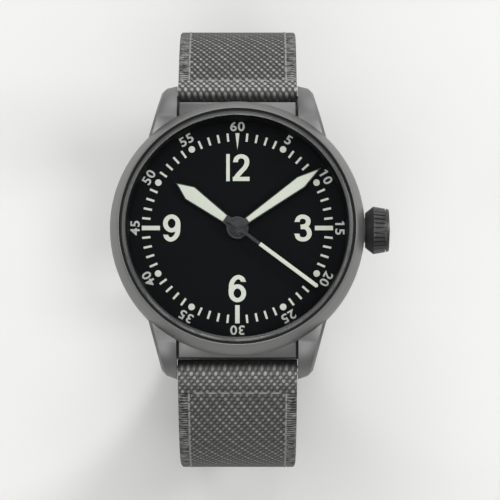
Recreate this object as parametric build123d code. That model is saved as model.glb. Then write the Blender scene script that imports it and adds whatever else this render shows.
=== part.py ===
from build123d import *

import math
import os

# A self-winding pilot watch on a canvas strap, in millimetres.
# The origin is the centre of the case back's flat outer face, on the axis of the hands.
# +Z points out of the dial, +Y to 12 o'clock and +X to the crown at 3 o'clock.

os.makedirs("parts", exist_ok=True)

# General
overrun = 5.0
running_gap = 0.05
seat_gap = 0.02

# Movement plate, holder and case chamber, from the middle outwards
plate_radius = 13.0
holder_inner_gap = 0.03
holder_wall = 3.02
chamber_gap = 0.05
chamber_radius = plate_radius + holder_inner_gap + holder_wall + chamber_gap

# Dial, flange ring, crystal and bezel, from the chamber outwards
dial_seat_width = 2.35
flange_outer_radius = chamber_radius + dial_seat_width
flange_bore_gap = 0.05
flange_foot_width = 0.7
flange_top_width = 0.35
flange_bottom_radius = flange_outer_radius - flange_foot_width
dial_edge_gap = 0.15
dial_radius = flange_outer_radius - dial_edge_gap
dial_thickness = 0.4
dial_hole_radius = 1.25
crystal_ledge = 0.5
crystal_radius = flange_outer_radius + crystal_ledge
crystal_thickness = 1.7
crystal_bevel = 0.65
crystal_bevel_depth = 0.3
gasket_width = 0.43
gasket_below_lip = 0.3
neck_radius = crystal_radius + seat_gap + gasket_width
bezel_bore_radius = neck_radius + seat_gap
bezel_lip_width = 0.2
bezel_lip_height = 1.4
bezel_slope_width = 1.38
seam_chamfer = 0.12
case_radius = bezel_bore_radius + bezel_lip_width + bezel_slope_width

# Heights, from the case back upwards
back_rise = 0.9
back_flange_thickness = 1.2
back_gasket_thickness = 0.3
back_floor = 1.4
rotor_gap = 0.3
rotor_plate_thickness = 0.4
rotor_rim_height = 0.8
bridge_gap = 0.4
bridge_thickness = 0.8
pocket_depth = 2.5
plate_web = 0.8
motion_recess_depth = 0.5
under_dial_gap = 0.5
hand_gap = 0.15
hour_hand_rise = 0.35
hand_thickness = 0.3
hand_tube_rise = 0.05
lume_rise = 0.08
seconds_thickness = 0.22
crystal_gap = 0.85
seam_rise = 0.2
back_recess_z = back_flange_thickness + back_gasket_thickness
rotor_z = back_floor + rotor_gap
bridge_z = rotor_z + rotor_rim_height + bridge_gap
plate_bottom_z = bridge_z + bridge_thickness
plate_web_z = plate_bottom_z + pocket_depth
motion_recess_z = plate_web_z + plate_web
plate_top_z = motion_recess_z + motion_recess_depth
dial_bottom_z = plate_top_z + under_dial_gap
dial_top_z = dial_bottom_z + dial_thickness
seam_z = dial_top_z + seam_rise
hour_hand_z = dial_top_z + hour_hand_rise
minute_hand_z = hour_hand_z + hand_thickness + hand_tube_rise + hand_gap
seconds_hand_z = minute_hand_z + hand_thickness + hand_tube_rise + hand_gap
crystal_bottom_z = seconds_hand_z + seconds_thickness + lume_rise + crystal_gap
crystal_top_z = crystal_bottom_z + crystal_thickness
bezel_top_z = crystal_bottom_z + bezel_lip_height

# Case band
bottom_bevel_width = 1.3
bottom_bevel_height = 2.5

# Case back
back_flange_width = 0.9
back_flange_radius = chamber_radius + back_flange_width
back_flange_gap = 0.05
back_edge_width = 1.1
back_edge_height = 0.55
back_spigot_gap = 0.05
back_spigot_wall = 0.75
back_spigot_height = 1.2
back_notch_count = 6
back_notch_width = 2.4
back_notch_length = 0.9

# Spring bars, lugs and the blocks between the lugs
strap_width = 19.8
strap_thickness = 2.0
strap_eye_radius = 1.6
strap_side_gap = 0.15
slit_width = 0.45
slit_floor_rise = 1.5
block_rise = 0.15
strap_end_gap = 0.25
bar_rise = 1.3
bar_radius = 0.75
bar_pin_radius = 0.45
bar_pin_reach = 1.1
bar_end_gap = 0.1
lug_inner_x = strap_width / 2 + strap_side_gap
block_reach = case_radius + block_rise
bar_y = block_reach + strap_end_gap + strap_eye_radius
bar_z = back_rise + bar_rise
lug_end_wall = 1.5
lug_reach = bar_y + lug_end_wall
lug_corner_width = 2.5
lug_tip_width = 1.65
lug_tip_wall = 0.9
lug_root_x_share = 0.726
lug_root_y_share = 0.619
lug_flat_length = 2.5
lug_top_drop = 0.1
lug_nose_rise = 0.2
lug_nose_in = 0.2
lug_foot_drop = 1.9
lug_foot_in = 0.9
lug_underside_length = 4.0
lug_edge_chamfer = 0.45

# Crown, tube and stem, along X
stem_rise = 0.9
crown_z = plate_bottom_z + stem_rise
crown_gap = 0.15
crown_start_x = case_radius + crown_gap
crown_cone_radius = 2.9
crown_radius = 3.95
crown_taper = 0.32
crown_cone_length = 1.35
crown_flute_length = 1.9
crown_groove_width = 0.2
crown_groove_depth = 0.3
crown_rim_length = 0.45
crown_end_radius = 3.45
crown_dome = 0.25
crown_flutes = 30
flute_depth = 0.32
tube_radius = 2.0
tube_bore_radius = 0.65
tube_inset = 1.1
tube_reach = 1.85
tube_end_gap = 0.55
crown_gasket_length = 0.7
crown_gasket_width = 0.35
crown_gasket_inset = 0.85
stem_radius = 0.55
stem_insertion = 6.8
stem_tip_radius = 0.35
stem_tip_length = 2.0
stem_seat_length = 1.0
stem_inner_x = plate_radius - stem_insertion

# Going train, laid out in shares of the plate's radius, with tooth counts and rises from the plate's foot
bridge_edge_gap = 0.4
bridge_radius = plate_radius - bridge_edge_gap
bridge_slot = 0.2
bridge_split_y = 2.1
pocket_gap = 0.25
train_share = 0.4
barrel_share = 0.4923
balance_share = 0.6846
motion_share = 0.2231
escape_radius_share = 0.146
balance_radius_share = 0.2615
train_distance = plate_radius * train_share
barrel_distance = plate_radius * barrel_share
balance_distance = plate_radius * balance_share
motion_distance = plate_radius * motion_share
third_angle = 200.0
escape_angle = 290.0
barrel_angle = 75.0
balance_angle = 328.0
motion_angle = 0.0
barrel_teeth = 72
centre_pinion_leaves = 12
centre_teeth = 64
third_pinion_leaves = 8
third_teeth = 60
fourth_pinion_leaves = 8
fourth_teeth = 60
escape_pinion_leaves = 6
escape_teeth = 15
addendum_share = 1.0
dedendum_share = 1.2
wheel_thickness = 0.2
wheel_rim = 0.6
wheel_spokes = 5
centre_wheel_rise = 2.2
centre_pinion_rise = 1.8
third_wheel_rise = 0.6
third_pinion_rise = 2.05
third_pinion_height = 0.4
fourth_wheel_rise = 0.08
fourth_pinion_rise = 0.4
fourth_pinion_height = 0.55
escape_wheel_rise = 1.75
escape_pinion_height = 0.4
barrel_rise = 0.35
barrel_drum_height = 1.45
barrel_rim_height = 0.3
barrel_drum_in = 0.73
barrel_wall = 0.4
barrel_arbor_radius = 0.8
arbor_radius = 0.2
pivot_gap = 0.03
jewel_radius = 0.45
seconds_arbor_radius = 0.15
centre_tube_radius = 0.45
centre_wheel_z = plate_bottom_z + centre_wheel_rise
centre_pinion_z = plate_bottom_z + centre_pinion_rise
third_wheel_z = plate_bottom_z + third_wheel_rise
third_pinion_z = plate_bottom_z + third_pinion_rise
fourth_wheel_z = plate_bottom_z + fourth_wheel_rise
fourth_pinion_z = plate_bottom_z + fourth_pinion_rise
escape_wheel_z = plate_bottom_z + escape_wheel_rise
barrel_z = plate_bottom_z + barrel_rise
barrel_top_z = barrel_z + barrel_drum_height

# Escapement and balance
escape_wheel_radius = plate_radius * escape_radius_share
escape_tooth_depth = 0.45
fork_share = 0.39
fork_rise = 1.75
fork_thickness = 0.25
fork_arm_width = 0.3
pallet_gap = 0.04
pallet_half_angle = 48.0
balance_radius = plate_radius * balance_radius_share
balance_rim = 0.45
balance_rise = 1.1
balance_thickness = 0.4
balance_spoke_width = 0.4
roller_radius = 0.6
roller_thickness = 0.2
fork_roller_gap = 0.1
hairspring_rise = 0.55
hairspring_height = 0.15
hairspring_strip = 0.08
hairspring_inner_radius = 0.5
hairspring_pitch = 0.5
hairspring_half_turns = 5
stud_width = 0.4
fork_z = plate_bottom_z + fork_rise
balance_z = plate_bottom_z + balance_rise
hairspring_z = plate_bottom_z + hairspring_rise

# Motion works under the dial, with rises from the floor of their recess
cannon_leaves = 12
minute_wheel_teeth = 36
minute_pinion_leaves = 10
hour_wheel_teeth = 40
cannon_rise = 0.05
cannon_leaf_height = 0.4
minute_wheel_rise = 0.1
minute_post_radius = 0.25
hour_wheel_rise = 0.55
cannon_tube_radius = 0.6
hour_tube_bore = 0.8
hour_tube_radius = 1.1
cannon_z = motion_recess_z + cannon_rise
minute_wheel_z = motion_recess_z + minute_wheel_rise
hour_wheel_z = motion_recess_z + hour_wheel_rise

# Rotor
rotor_edge_gap = 0.6
rotor_radius = plate_radius - rotor_edge_gap
rotor_rim_width = 2.6
rotor_hub_radius = 3.0
bearing_radius = 1.6
bearing_lip = 0.05

# Screws on the bridges: each place is an angle and a share of the plate's radius
screw_head_radius = 0.65
screw_head_height = 0.25
screw_slot_width = 0.18
screw_slot_depth = 0.12
screw_ring_share = 0.7
cock_screw_share = 0.9
barrel_screw_angles = (20, 140)
train_screw_angles = (172, 225, 268)

# Hands: clockwise angle from 12 o'clock, then lengths from the axis
hour_angle = -53.8
minute_angle = 54.4
seconds_angle = 126.7
lume_border = 0.16
hour_hub_radius = 1.85
hour_base_y = 2.4
hour_base_width = 1.5
hour_shoulder_width = 2.66
hour_short_of_flange = 5.1
hour_point_length = 2.95
minute_hub_radius = 1.3
minute_base_y = 1.9
minute_base_width = 1.15
minute_shoulder_width = 2.2
minute_short_of_flange = 0.75
minute_point_length = 4.1
seconds_hub_radius = 0.95
seconds_stem_width = 0.5
seconds_lume_y = 4.6
seconds_lume_width = 0.65
seconds_short_of_flange = 1.25
seconds_tail_length = 2.35
seconds_pin_radius = 0.27
hour_tip_y = flange_bottom_radius - hour_short_of_flange
minute_tip_y = flange_bottom_radius - minute_short_of_flange
seconds_tip_y = flange_bottom_radius - seconds_short_of_flange

# Strap, seen from the side: both pieces hang from the spring bars in one loop
loop_half_width = 37.65
loop_widest_drop = 28.8
loop_widest_z = bar_z - loop_widest_drop
short_lower_radius = 21.0
short_length = 74.0
long_straight = 6.0
long_lower_radius = 28.0
long_length = 116.6
tail_point_length = 9.0
tail_point_half_width = 5.0
hole_count = 7
hole_spacing = 6.5
hole_radius = 0.9
hole_from_tip = 17.0

# Buckle
buckle_side_gap = 0.3
buckle_arm_width = 2.0
buckle_reach = 11.05
buckle_front_width = 2.4
buckle_back = 1.45
buckle_corner = 1.4
buckle_thickness = 2.2
buckle_edge = 0.3
tang_width = 2.2
tang_thickness = 0.9
tang_eye_radius = 1.45
tang_notch_depth = 0.35
tang_slot_gap = 0.25
tang_tip_past = 0.35
buckle_window_half_width = strap_width / 2 + buckle_side_gap
buckle_half_width = buckle_window_half_width + buckle_arm_width

# Keepers
keeper_length = 6.0
keeper_wall = 1.0
keeper_side_gap = 0.2
keeper_tail_room = 2.3
fixed_keeper_offset = 5.0
sliding_keeper_angle = 62.0
sliding_keeper_gap = 0.35


def place(angle, distance):
    """A point at an angle from the crown, seen from the dial side."""
    turn = math.radians(angle)
    return distance * math.cos(turn), distance * math.sin(turn)


def disc(radius, low, high, bore=0.0, at=(0, 0)):
    """An upright disc or tube between two heights."""
    from_foot = (Align.CENTER, Align.CENTER, Align.MIN)
    solid = Pos(at[0], at[1], low) * Cylinder(radius, high - low, align=from_foot)
    if bore:
        hole = Pos(at[0], at[1], low - overrun) * Cylinder(bore, high - low + 2 * overrun, align=from_foot)
        solid -= hole
    return solid


def turned(points, arc=360.0):
    """A solid turned about the hands' axis from an outline of (radius, height) points."""
    outline = Plane.XZ * make_face(Polyline(*points, close=True))
    return revolve(outline, Axis.Z, arc)


def turned_on_crown_axis(points):
    """A solid turned about the crown's axis from an outline of (x, radius) points."""
    outline = Plane.XZ * make_face(Polyline(*points, close=True))
    return Pos(0, 0, crown_z) * revolve(outline, Axis.X)


def rod_x(radius, start, end, y=0.0, z=0.0):
    """A round rod along X."""
    rod = Rot(0, 90, 0) * Cylinder(radius, end - start, align=(Align.CENTER, Align.CENTER, Align.MIN))
    return Pos(start, y, z) * rod


def block(x_range, y_range, z_range):
    """A box between two values on each axis."""
    size = [high - low for low, high in (x_range, y_range, z_range)]
    middle = [(high + low) / 2 for low, high in (x_range, y_range, z_range)]
    return Pos(*middle) * Box(*size)


def save(name, shape):
    """Writes one named piece, or one group of like pieces."""
    shape.label = name
    export_step(shape, f"parts/{name}.step")


# Case middle
lug_root_x = case_radius * lug_root_x_share
lug_root_y = case_radius * lug_root_y_share


def lug_side_profile(reach):
    """The side view of a lug, which the block between the lugs shares up to its own reach."""
    top_z = seam_z - lug_top_drop
    flat_y = lug_root_y + lug_flat_length
    nose_z = bar_z + lug_nose_rise
    foot_z = bar_z - lug_foot_drop
    run = lug_reach - lug_nose_in - flat_y
    drop = top_z - nose_z
    top_radius = (run**2 + drop**2) / (2 * drop)
    half_run = run * math.sqrt(0.5)
    middle_z = top_z - top_radius + math.sqrt(top_radius**2 - half_run**2)
    top = ThreePointArc(
        (flat_y, top_z),
        (flat_y + half_run, middle_z),
        (lug_reach - lug_nose_in, nose_z),
    )
    rest = Polyline(
        (lug_reach - lug_nose_in, nose_z),
        (lug_reach, nose_z - lug_nose_in * 2),
        (lug_reach, foot_z + lug_nose_in * 3),
        (lug_reach - lug_foot_in, foot_z),
        (bar_y - lug_underside_length, back_rise),
        (lug_root_y, back_rise),
        (lug_root_y, top_z),
        (flat_y, top_z),
    )
    side = extrude(Plane.YZ * make_face([top, rest]), case_radius, both=True)
    return side & block((-case_radius, case_radius), (0, reach), (0, seam_z))


def make_lug():
    """The lug beside the crown at 12 o'clock."""
    plan = make_face(
        Polyline(
            (lug_inner_x, lug_root_y),
            (lug_inner_x, lug_reach),
            (lug_inner_x + lug_tip_width, bar_y + lug_tip_wall),
            (lug_inner_x + lug_corner_width, bar_y),
            (lug_root_x, lug_root_y),
            close=True,
        )
    )
    lug = extrude(plan, seam_z) & lug_side_profile(lug_reach + overrun)
    crest = lug.faces().filter_by(GeomType.CYLINDER)[0]
    outer_edge = crest.edges().sort_by(Axis.X)[-1]
    return chamfer(outer_edge, lug_edge_chamfer)


def make_case_middle():
    body = turned(
        [
            (0, back_rise),
            (case_radius - bottom_bevel_width, back_rise),
            (case_radius, back_rise + bottom_bevel_height),
            (case_radius, seam_z - seam_chamfer),
            (case_radius - seam_chamfer, seam_z),
            (neck_radius, seam_z),
            (neck_radius, crystal_bottom_z),
            (0, crystal_bottom_z),
        ]
    )
    half_block = lug_inner_x - slit_width
    slit_floor_z = back_rise + slit_floor_rise
    reach = lug_side_profile(block_reach)
    shoulder = reach & block((-half_block, half_block), (0, lug_reach), (0, seam_z))
    shoulder += reach & block((-lug_inner_x, lug_inner_x), (0, lug_reach), (0, slit_floor_z))
    lug = make_lug()
    half = lug + mirror(lug, Plane.YZ) + shoulder
    body += half + mirror(half, Plane.XZ)
    dial_recess = flange_outer_radius + flange_bore_gap
    bore = turned(
        [
            (0, -overrun),
            (back_flange_radius + back_flange_gap, -overrun),
            (back_flange_radius + back_flange_gap, back_recess_z),
            (chamber_radius, back_recess_z),
            (chamber_radius, dial_bottom_z),
            (dial_recess, dial_bottom_z),
            (dial_recess, crystal_bottom_z + overrun),
            (0, crystal_bottom_z + overrun),
        ]
    )
    body -= bore
    body -= rod_x(tube_radius + seat_gap, 0, case_radius + overrun, z=crown_z)
    pin_end = lug_inner_x + bar_pin_reach + bar_end_gap
    for side in (-1, 1):
        body -= rod_x(bar_pin_radius + running_gap, -pin_end, pin_end, side * bar_y, bar_z)
    return body


# Bezel, crystal and the rings round the dial
def make_bezel():
    """A conical ring pressed over the case's neck."""
    return turned(
        [
            (bezel_bore_radius, seam_z),
            (case_radius - seam_chamfer, seam_z),
            (case_radius, seam_z + seam_chamfer),
            (bezel_bore_radius + bezel_lip_width, bezel_top_z),
            (bezel_bore_radius, bezel_top_z),
        ]
    )


def make_crystal():
    return turned(
        [
            (0, crystal_bottom_z),
            (crystal_radius, crystal_bottom_z),
            (crystal_radius, crystal_top_z - crystal_bevel_depth),
            (crystal_radius - crystal_bevel, crystal_top_z),
            (0, crystal_top_z),
        ]
    )


def make_crystal_gasket():
    return disc(
        neck_radius,
        crystal_bottom_z,
        bezel_top_z - gasket_below_lip,
        crystal_radius + seat_gap,
    )


def make_flange_ring():
    return turned(
        [
            (flange_bottom_radius, dial_top_z),
            (flange_outer_radius, dial_top_z),
            (flange_outer_radius, crystal_bottom_z),
            (flange_outer_radius - flange_top_width, crystal_bottom_z),
        ]
    )


def make_dial():
    return disc(dial_radius, dial_bottom_z, dial_top_z, dial_hole_radius)


# Case back
def make_case_back():
    spigot_r = chamber_radius - back_spigot_gap
    spigot_top = back_recess_z + back_spigot_height
    back = turned(
        [
            (0, 0),
            (back_flange_radius - back_edge_width, 0),
            (back_flange_radius, back_edge_height),
            (back_flange_radius, back_flange_thickness),
            (spigot_r, back_flange_thickness),
            (spigot_r, spigot_top),
            (spigot_r - back_spigot_wall, spigot_top),
            (spigot_r - back_spigot_wall, back_floor),
            (0, back_floor),
        ]
    )
    notch = block(
        (back_flange_radius - back_edge_width - back_notch_length, back_flange_radius + overrun),
        (-back_notch_width / 2, back_notch_width / 2),
        (-overrun, back_edge_height),
    )
    for index in range(back_notch_count):
        back -= Rot(0, 0, 360 * index / back_notch_count) * notch
    return back


def make_case_back_gasket():
    """A flat ring squeezed between the case back's flange and the case."""
    return disc(
        back_flange_radius - seat_gap,
        back_flange_thickness,
        back_recess_z,
        chamber_radius + seat_gap,
    )


# Crown
def crown_levels():
    """Where each stretch of the crown starts, from the case outwards."""
    flute_start = crown_start_x + crown_cone_length
    flute_end = flute_start + crown_flute_length
    rim_start = flute_end + crown_groove_width
    rim_end = rim_start + crown_rim_length
    return flute_start, flute_end, rim_start, rim_end


def crown_bore_levels():
    """Where the crown's bore for the tube ends, and where the stem's seat ends."""
    bore_end = crown_start_x + tube_reach + tube_end_gap
    return bore_end, bore_end + stem_seat_length


def crown_gasket_outer():
    return tube_radius + running_gap + crown_gasket_width


def make_crown():
    flute_start, flute_end, rim_start, rim_end = crown_levels()
    bore_r = tube_radius + running_gap
    bore_end, seat_end = crown_bore_levels()
    stem_r = stem_radius + seat_gap
    fluted_end_radius = crown_radius - crown_taper
    crown = turned_on_crown_axis(
        [
            (crown_start_x, bore_r),
            (crown_start_x, crown_cone_radius),
            (flute_start, crown_radius),
            (flute_end, fluted_end_radius),
            (flute_end, fluted_end_radius - crown_groove_depth),
            (rim_start, fluted_end_radius - crown_groove_depth),
            (rim_start, fluted_end_radius),
            (rim_end, crown_end_radius),
            (rim_end + crown_dome, 0),
            (seat_end, 0),
            (seat_end, stem_r),
            (bore_end, stem_r),
            (bore_end, bore_r),
        ]
    )
    gasket_x = crown_start_x + crown_gasket_inset
    groove_start = gasket_x - running_gap
    groove_end = gasket_x + crown_gasket_length + running_gap
    groove_r = crown_gasket_outer() + running_gap
    crown -= rod_x(groove_r, groove_start, groove_end, z=crown_z)
    pitch = 2 * math.pi / crown_flutes
    mouth_share = 0.3
    floor_share = 0.12
    rim_r = fluted_end_radius + flute_depth
    floor_r = fluted_end_radius - flute_depth
    corners = [
        (rim_r, -mouth_share * pitch),
        (floor_r, -floor_share * pitch),
        (floor_r, floor_share * pitch),
        (rim_r, mouth_share * pitch),
    ]
    gap = make_face(Polyline(*[(r * math.cos(a), r * math.sin(a)) for r, a in corners], close=True))
    tilt = math.degrees(math.atan2(crown_taper, crown_flute_length))
    cutter = Rot(0, -90, 0) * extrude(gap, crown_flute_length)
    cutter = Pos(0, 0, floor_r) * Rot(0, tilt, 0) * Pos(0, 0, -floor_r) * cutter
    for index in range(crown_flutes):
        crown -= Pos(flute_end, 0, crown_z) * Rot(math.degrees(index * pitch), 0, 0) * cutter
    return crown


def make_crown_tube():
    start = chamber_radius + tube_inset
    end = crown_start_x + tube_reach
    tube = rod_x(tube_radius, start, end, z=crown_z)
    return tube - rod_x(tube_bore_radius, start - overrun, end + overrun, z=crown_z)


def make_crown_gasket():
    """A ring in the crown's groove, round the tube."""
    start = crown_start_x + crown_gasket_inset
    end = start + crown_gasket_length
    ring = rod_x(crown_gasket_outer(), start, end, z=crown_z)
    return ring - rod_x(tube_radius + running_gap, start - overrun, end + overrun, z=crown_z)


def make_winding_stem():
    seat_end = crown_bore_levels()[1]
    stem = rod_x(stem_radius, stem_inner_x, seat_end, z=crown_z)
    return stem + rod_x(stem_tip_radius, stem_inner_x - stem_tip_length, stem_inner_x, z=crown_z)


def make_spring_bars():
    """Two identical bars, each a tube with a pin at both ends."""
    tube_end = lug_inner_x - running_gap
    pin_end = lug_inner_x + bar_pin_reach
    bars = []
    for side in (-1, 1):
        bar = rod_x(bar_radius, -tube_end, tube_end, side * bar_y, bar_z)
        bar += rod_x(bar_pin_radius, -pin_end, pin_end, side * bar_y, bar_z)
        bars.append(bar)
    return Compound(children=bars)


# Wheels
def toothed(teeth, module, low, height, angle, at, bore=0.0):
    """A wheel or pinion with one tooth pointing along the given angle."""
    pitch_r = teeth * module / 2
    tip = pitch_r + addendum_share * module
    root = pitch_r - dedendum_share * module
    points = []
    for index in range(2 * teeth):
        turn = math.radians(angle) + index * math.pi / teeth
        radius = root if index % 2 else tip
        points.append((radius * math.cos(turn), radius * math.sin(turn)))
    wheel = extrude(make_face(Polyline(*points, close=True)), height)
    if bore:
        wheel -= Cylinder(bore, 2 * (height + overrun))
    return Pos(at[0], at[1], low) * wheel


def mesh_angle(teeth, angle, direction, mate_teeth):
    """The angle of a mate's tooth that falls in a gap of the first wheel.

    The first wheel has one tooth at angle. direction points from it to its mate.
    """
    lead = teeth * (direction - angle)
    return direction + 180 - (180 - lead) / mate_teeth


def crossings(outer, inner, spokes, at):
    """What is cut from a wheel between its rim and its hub to leave the spokes."""
    ring = disc(outer, 0, crystal_top_z, inner)
    half = wheel_rim / 2
    for index in range(spokes):
        spoke = block((0, outer + overrun), (-half, half), (-overrun, crystal_top_z + overrun))
        ring -= Rot(0, 0, 360 * index / spokes) * spoke
    return Pos(at[0], at[1], 0) * ring


def arbor(at):
    """A wheel's shaft, from the jewel in the bridge to the plate."""
    return disc(arbor_radius, plate_bottom_z + pivot_gap, plate_web_z - pivot_gap, at=at)


centre_at = (0, 0)
third_at = place(third_angle, train_distance)
escape_at = place(escape_angle, train_distance)
barrel_at = place(barrel_angle, barrel_distance)
balance_at = place(balance_angle, balance_distance)
minute_at = place(motion_angle, motion_distance)
fork_at = tuple(e + fork_share * (b - e) for e, b in zip(escape_at, balance_at))

barrel_module = 2 * barrel_distance / (barrel_teeth + centre_pinion_leaves)
centre_module = 2 * train_distance / (centre_teeth + third_pinion_leaves)
third_module = 2 * train_distance / (third_teeth + fourth_pinion_leaves)
fourth_module = 2 * train_distance / (fourth_teeth + escape_pinion_leaves)
cannon_module = 2 * motion_distance / (cannon_leaves + minute_wheel_teeth)
hour_module = 2 * motion_distance / (minute_pinion_leaves + hour_wheel_teeth)


def make_barrel():
    """The drum for the mainspring, with its teeth round the top."""
    tooth = mesh_angle(centre_pinion_leaves, 0, barrel_angle, barrel_teeth)
    bore = barrel_arbor_radius + running_gap
    drum_radius = barrel_teeth * barrel_module / 2 - barrel_drum_in
    drum = disc(drum_radius, barrel_z, barrel_top_z, bore, barrel_at)
    drum += toothed(barrel_teeth, barrel_module, barrel_top_z, barrel_rim_height, tooth, barrel_at, bore)
    hollow = disc(drum_radius - barrel_wall, barrel_z + barrel_wall, barrel_top_z, at=barrel_at)
    return drum - hollow


def make_barrel_arbor():
    return disc(barrel_arbor_radius, bridge_z, plate_web_z, at=barrel_at)


def make_centre_wheel():
    """The centre wheel and pinion on a hollow shaft that carries the minute hand's pinion."""
    wheel = toothed(centre_teeth, centre_module, centre_wheel_z, wheel_thickness, 0, centre_at)
    rim_radius = (centre_teeth / 2 - dedendum_share) * centre_module - wheel_rim
    wheel -= crossings(rim_radius, 2 * wheel_rim, wheel_spokes, centre_at)
    pinion = toothed(
        centre_pinion_leaves, barrel_module, centre_pinion_z, centre_wheel_z - centre_pinion_z, 0, centre_at
    )
    tube = disc(centre_tube_radius, centre_pinion_z, minute_hand_z)
    return wheel + pinion + tube - disc(seconds_arbor_radius + running_gap, 0, crystal_top_z)


def make_third_wheel():
    pinion_tooth = mesh_angle(centre_teeth, 0, third_angle, third_pinion_leaves)
    wheel = toothed(third_teeth, third_module, third_wheel_z, wheel_thickness, third_angle, third_at)
    wheel += toothed(
        third_pinion_leaves, centre_module, third_pinion_z, third_pinion_height, pinion_tooth, third_at
    )
    return wheel + arbor(third_at)


def make_fourth_wheel():
    pinion_tooth = mesh_angle(third_teeth, third_angle, third_angle + 180, fourth_pinion_leaves)
    wheel = toothed(fourth_teeth, fourth_module, fourth_wheel_z, wheel_thickness, 0, centre_at)
    wheel += toothed(
        fourth_pinion_leaves, third_module, fourth_pinion_z, fourth_pinion_height, pinion_tooth, centre_at
    )
    return wheel + disc(seconds_arbor_radius, plate_bottom_z + pivot_gap, seconds_hand_z + seconds_thickness)


def make_escape_wheel():
    pinion_tooth = mesh_angle(fourth_teeth, 0, escape_angle, escape_pinion_leaves)
    points = []
    pitch = 2 * math.pi / escape_teeth
    heel_share = 0.25
    for index in range(escape_teeth):
        turn = index * pitch
        for radius, lead in (
            (escape_wheel_radius - escape_tooth_depth, 0),
            (escape_wheel_radius, heel_share * pitch),
        ):
            points.append((radius * math.cos(turn + lead), radius * math.sin(turn + lead)))
    wheel = extrude(make_face(Polyline(*points, close=True)), wheel_thickness)
    wheel = Pos(escape_at[0], escape_at[1], escape_wheel_z) * wheel
    wheel += toothed(
        escape_pinion_leaves,
        fourth_module,
        fourth_wheel_z - running_gap / 2,
        escape_pinion_height,
        pinion_tooth,
        escape_at,
    )
    return wheel + arbor(escape_at)


# Escapement and balance
def make_pallet_fork():
    """A lever with two pallets beside the escape wheel and a fork towards the roller."""
    to_balance = math.degrees(math.atan2(balance_at[1] - fork_at[1], balance_at[0] - fork_at[0]))
    arm_length = math.dist(fork_at, balance_at) - roller_radius - fork_roller_gap
    half = fork_arm_width / 2
    fork = block((-half, arm_length), (-half, half), (0, fork_thickness))
    fork -= block(
        (arm_length - fork_arm_width, arm_length + overrun), (-half / 2, half / 2), (-overrun, overrun)
    )
    to_escape = math.dist(fork_at, escape_at)
    clear = escape_wheel_radius + pallet_gap
    for side in (-1, 1):
        turn = math.radians(pallet_half_angle) * side
        stone = (-to_escape + clear * math.cos(turn), clear * math.sin(turn))
        length = math.hypot(*stone)
        lean = math.degrees(math.atan2(stone[1], stone[0]))
        fork += Rot(0, 0, lean) * block((0, length + half), (-half, half), (0, fork_thickness))
    fork -= Pos(-to_escape, 0, 0) * disc(clear, -overrun, overrun)
    fork = Pos(fork_at[0], fork_at[1], fork_z) * Rot(0, 0, to_balance) * fork
    return fork + arbor(fork_at)


def make_balance_wheel():
    """A rim on two spokes, with its staff and roller."""
    top = balance_z + balance_thickness
    rim = disc(balance_radius, balance_z, top, balance_radius - balance_rim, balance_at)
    reach = balance_radius - balance_rim / 2
    half = balance_spoke_width / 2
    spoke = block((-reach, reach), (-half, half), (balance_z, top))
    rim += Pos(balance_at[0], balance_at[1], 0) * spoke
    rim += disc(roller_radius, fork_z, fork_z + roller_thickness, at=balance_at)
    return rim + arbor(balance_at)


def spiral_strip(inner, pitch, half_turns, width):
    """A flat strip wound in half circles, each a little larger than the last."""
    lower = []
    upper = []
    centre_y = 0.0
    radius = inner
    for index in range(half_turns):
        side = 1 if index % 2 == 0 else -1
        start = centre_y - side * radius
        end = centre_y + side * radius
        for edges, shift in ((lower, 0.0), (upper, width)):
            edges.append(
                ThreePointArc(
                    (0, start - side * shift),
                    (side * (radius + shift), centre_y),
                    (0, end + side * shift),
                )
            )
        centre_y -= side * pitch / 4
        radius += pitch / 4
    first = lower[0] @ 0
    first_outer = upper[0] @ 0
    last = lower[-1] @ 1
    last_outer = upper[-1] @ 1
    ends = [Line(first, first_outer), Line(last, last_outer)]
    return make_face(lower + upper + ends)


def make_hairspring():
    """A flat spiral with its outer end in a stud on the balance cock."""
    strip = spiral_strip(
        hairspring_inner_radius, hairspring_pitch, hairspring_half_turns, hairspring_strip
    )
    spring = Pos(balance_at[0], balance_at[1], hairspring_z) * extrude(strip, hairspring_height)
    ends = spring.vertices().sort_by(lambda v: -math.hypot(v.X - balance_at[0], v.Y - balance_at[1]))
    outer = ends[0]
    half = stud_width / 2
    stud = block(
        (outer.X - half, outer.X + half),
        (outer.Y - half, outer.Y + half),
        (plate_bottom_z, hairspring_z + hairspring_height),
    )
    return spring + stud


# Plates and bridges
def movement_pockets():
    """The hollows milled into the mainplate for the wheels: centre, radius."""
    return [
        (barrel_at, barrel_teeth * barrel_module / 2 + barrel_module + pocket_gap),
        (centre_at, train_distance * fourth_teeth / (fourth_teeth + escape_pinion_leaves) + pocket_gap),
        (third_at, third_teeth * third_module / 2 + third_module + pocket_gap),
        (escape_at, escape_wheel_radius + pocket_gap * 2),
        (balance_at, balance_radius + pocket_gap),
        (fork_at, escape_wheel_radius),
    ]


def make_mainplate():
    plate = disc(plate_radius, plate_bottom_z, plate_top_z)
    for at, radius in movement_pockets():
        plate -= disc(radius, plate_bottom_z - overrun, plate_web_z, at=at)
    plate -= disc(centre_tube_radius + running_gap, 0, crystal_top_z)
    stem_hole_start = stem_inner_x - stem_tip_length - pocket_gap
    plate -= rod_x(stem_radius + running_gap, stem_hole_start, plate_radius + overrun, z=crown_z)
    cannon_tip = (cannon_leaves / 2 + addendum_share) * cannon_module
    minute_tip = (minute_wheel_teeth / 2 + addendum_share) * cannon_module
    plate -= disc(cannon_tip + pocket_gap, motion_recess_z, plate_top_z + overrun)
    plate -= disc(minute_tip + pocket_gap, motion_recess_z, plate_top_z + overrun, at=minute_at)
    post_top = dial_bottom_z - running_gap * 2
    return plate + disc(minute_post_radius, motion_recess_z, post_top, at=minute_at)


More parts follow.
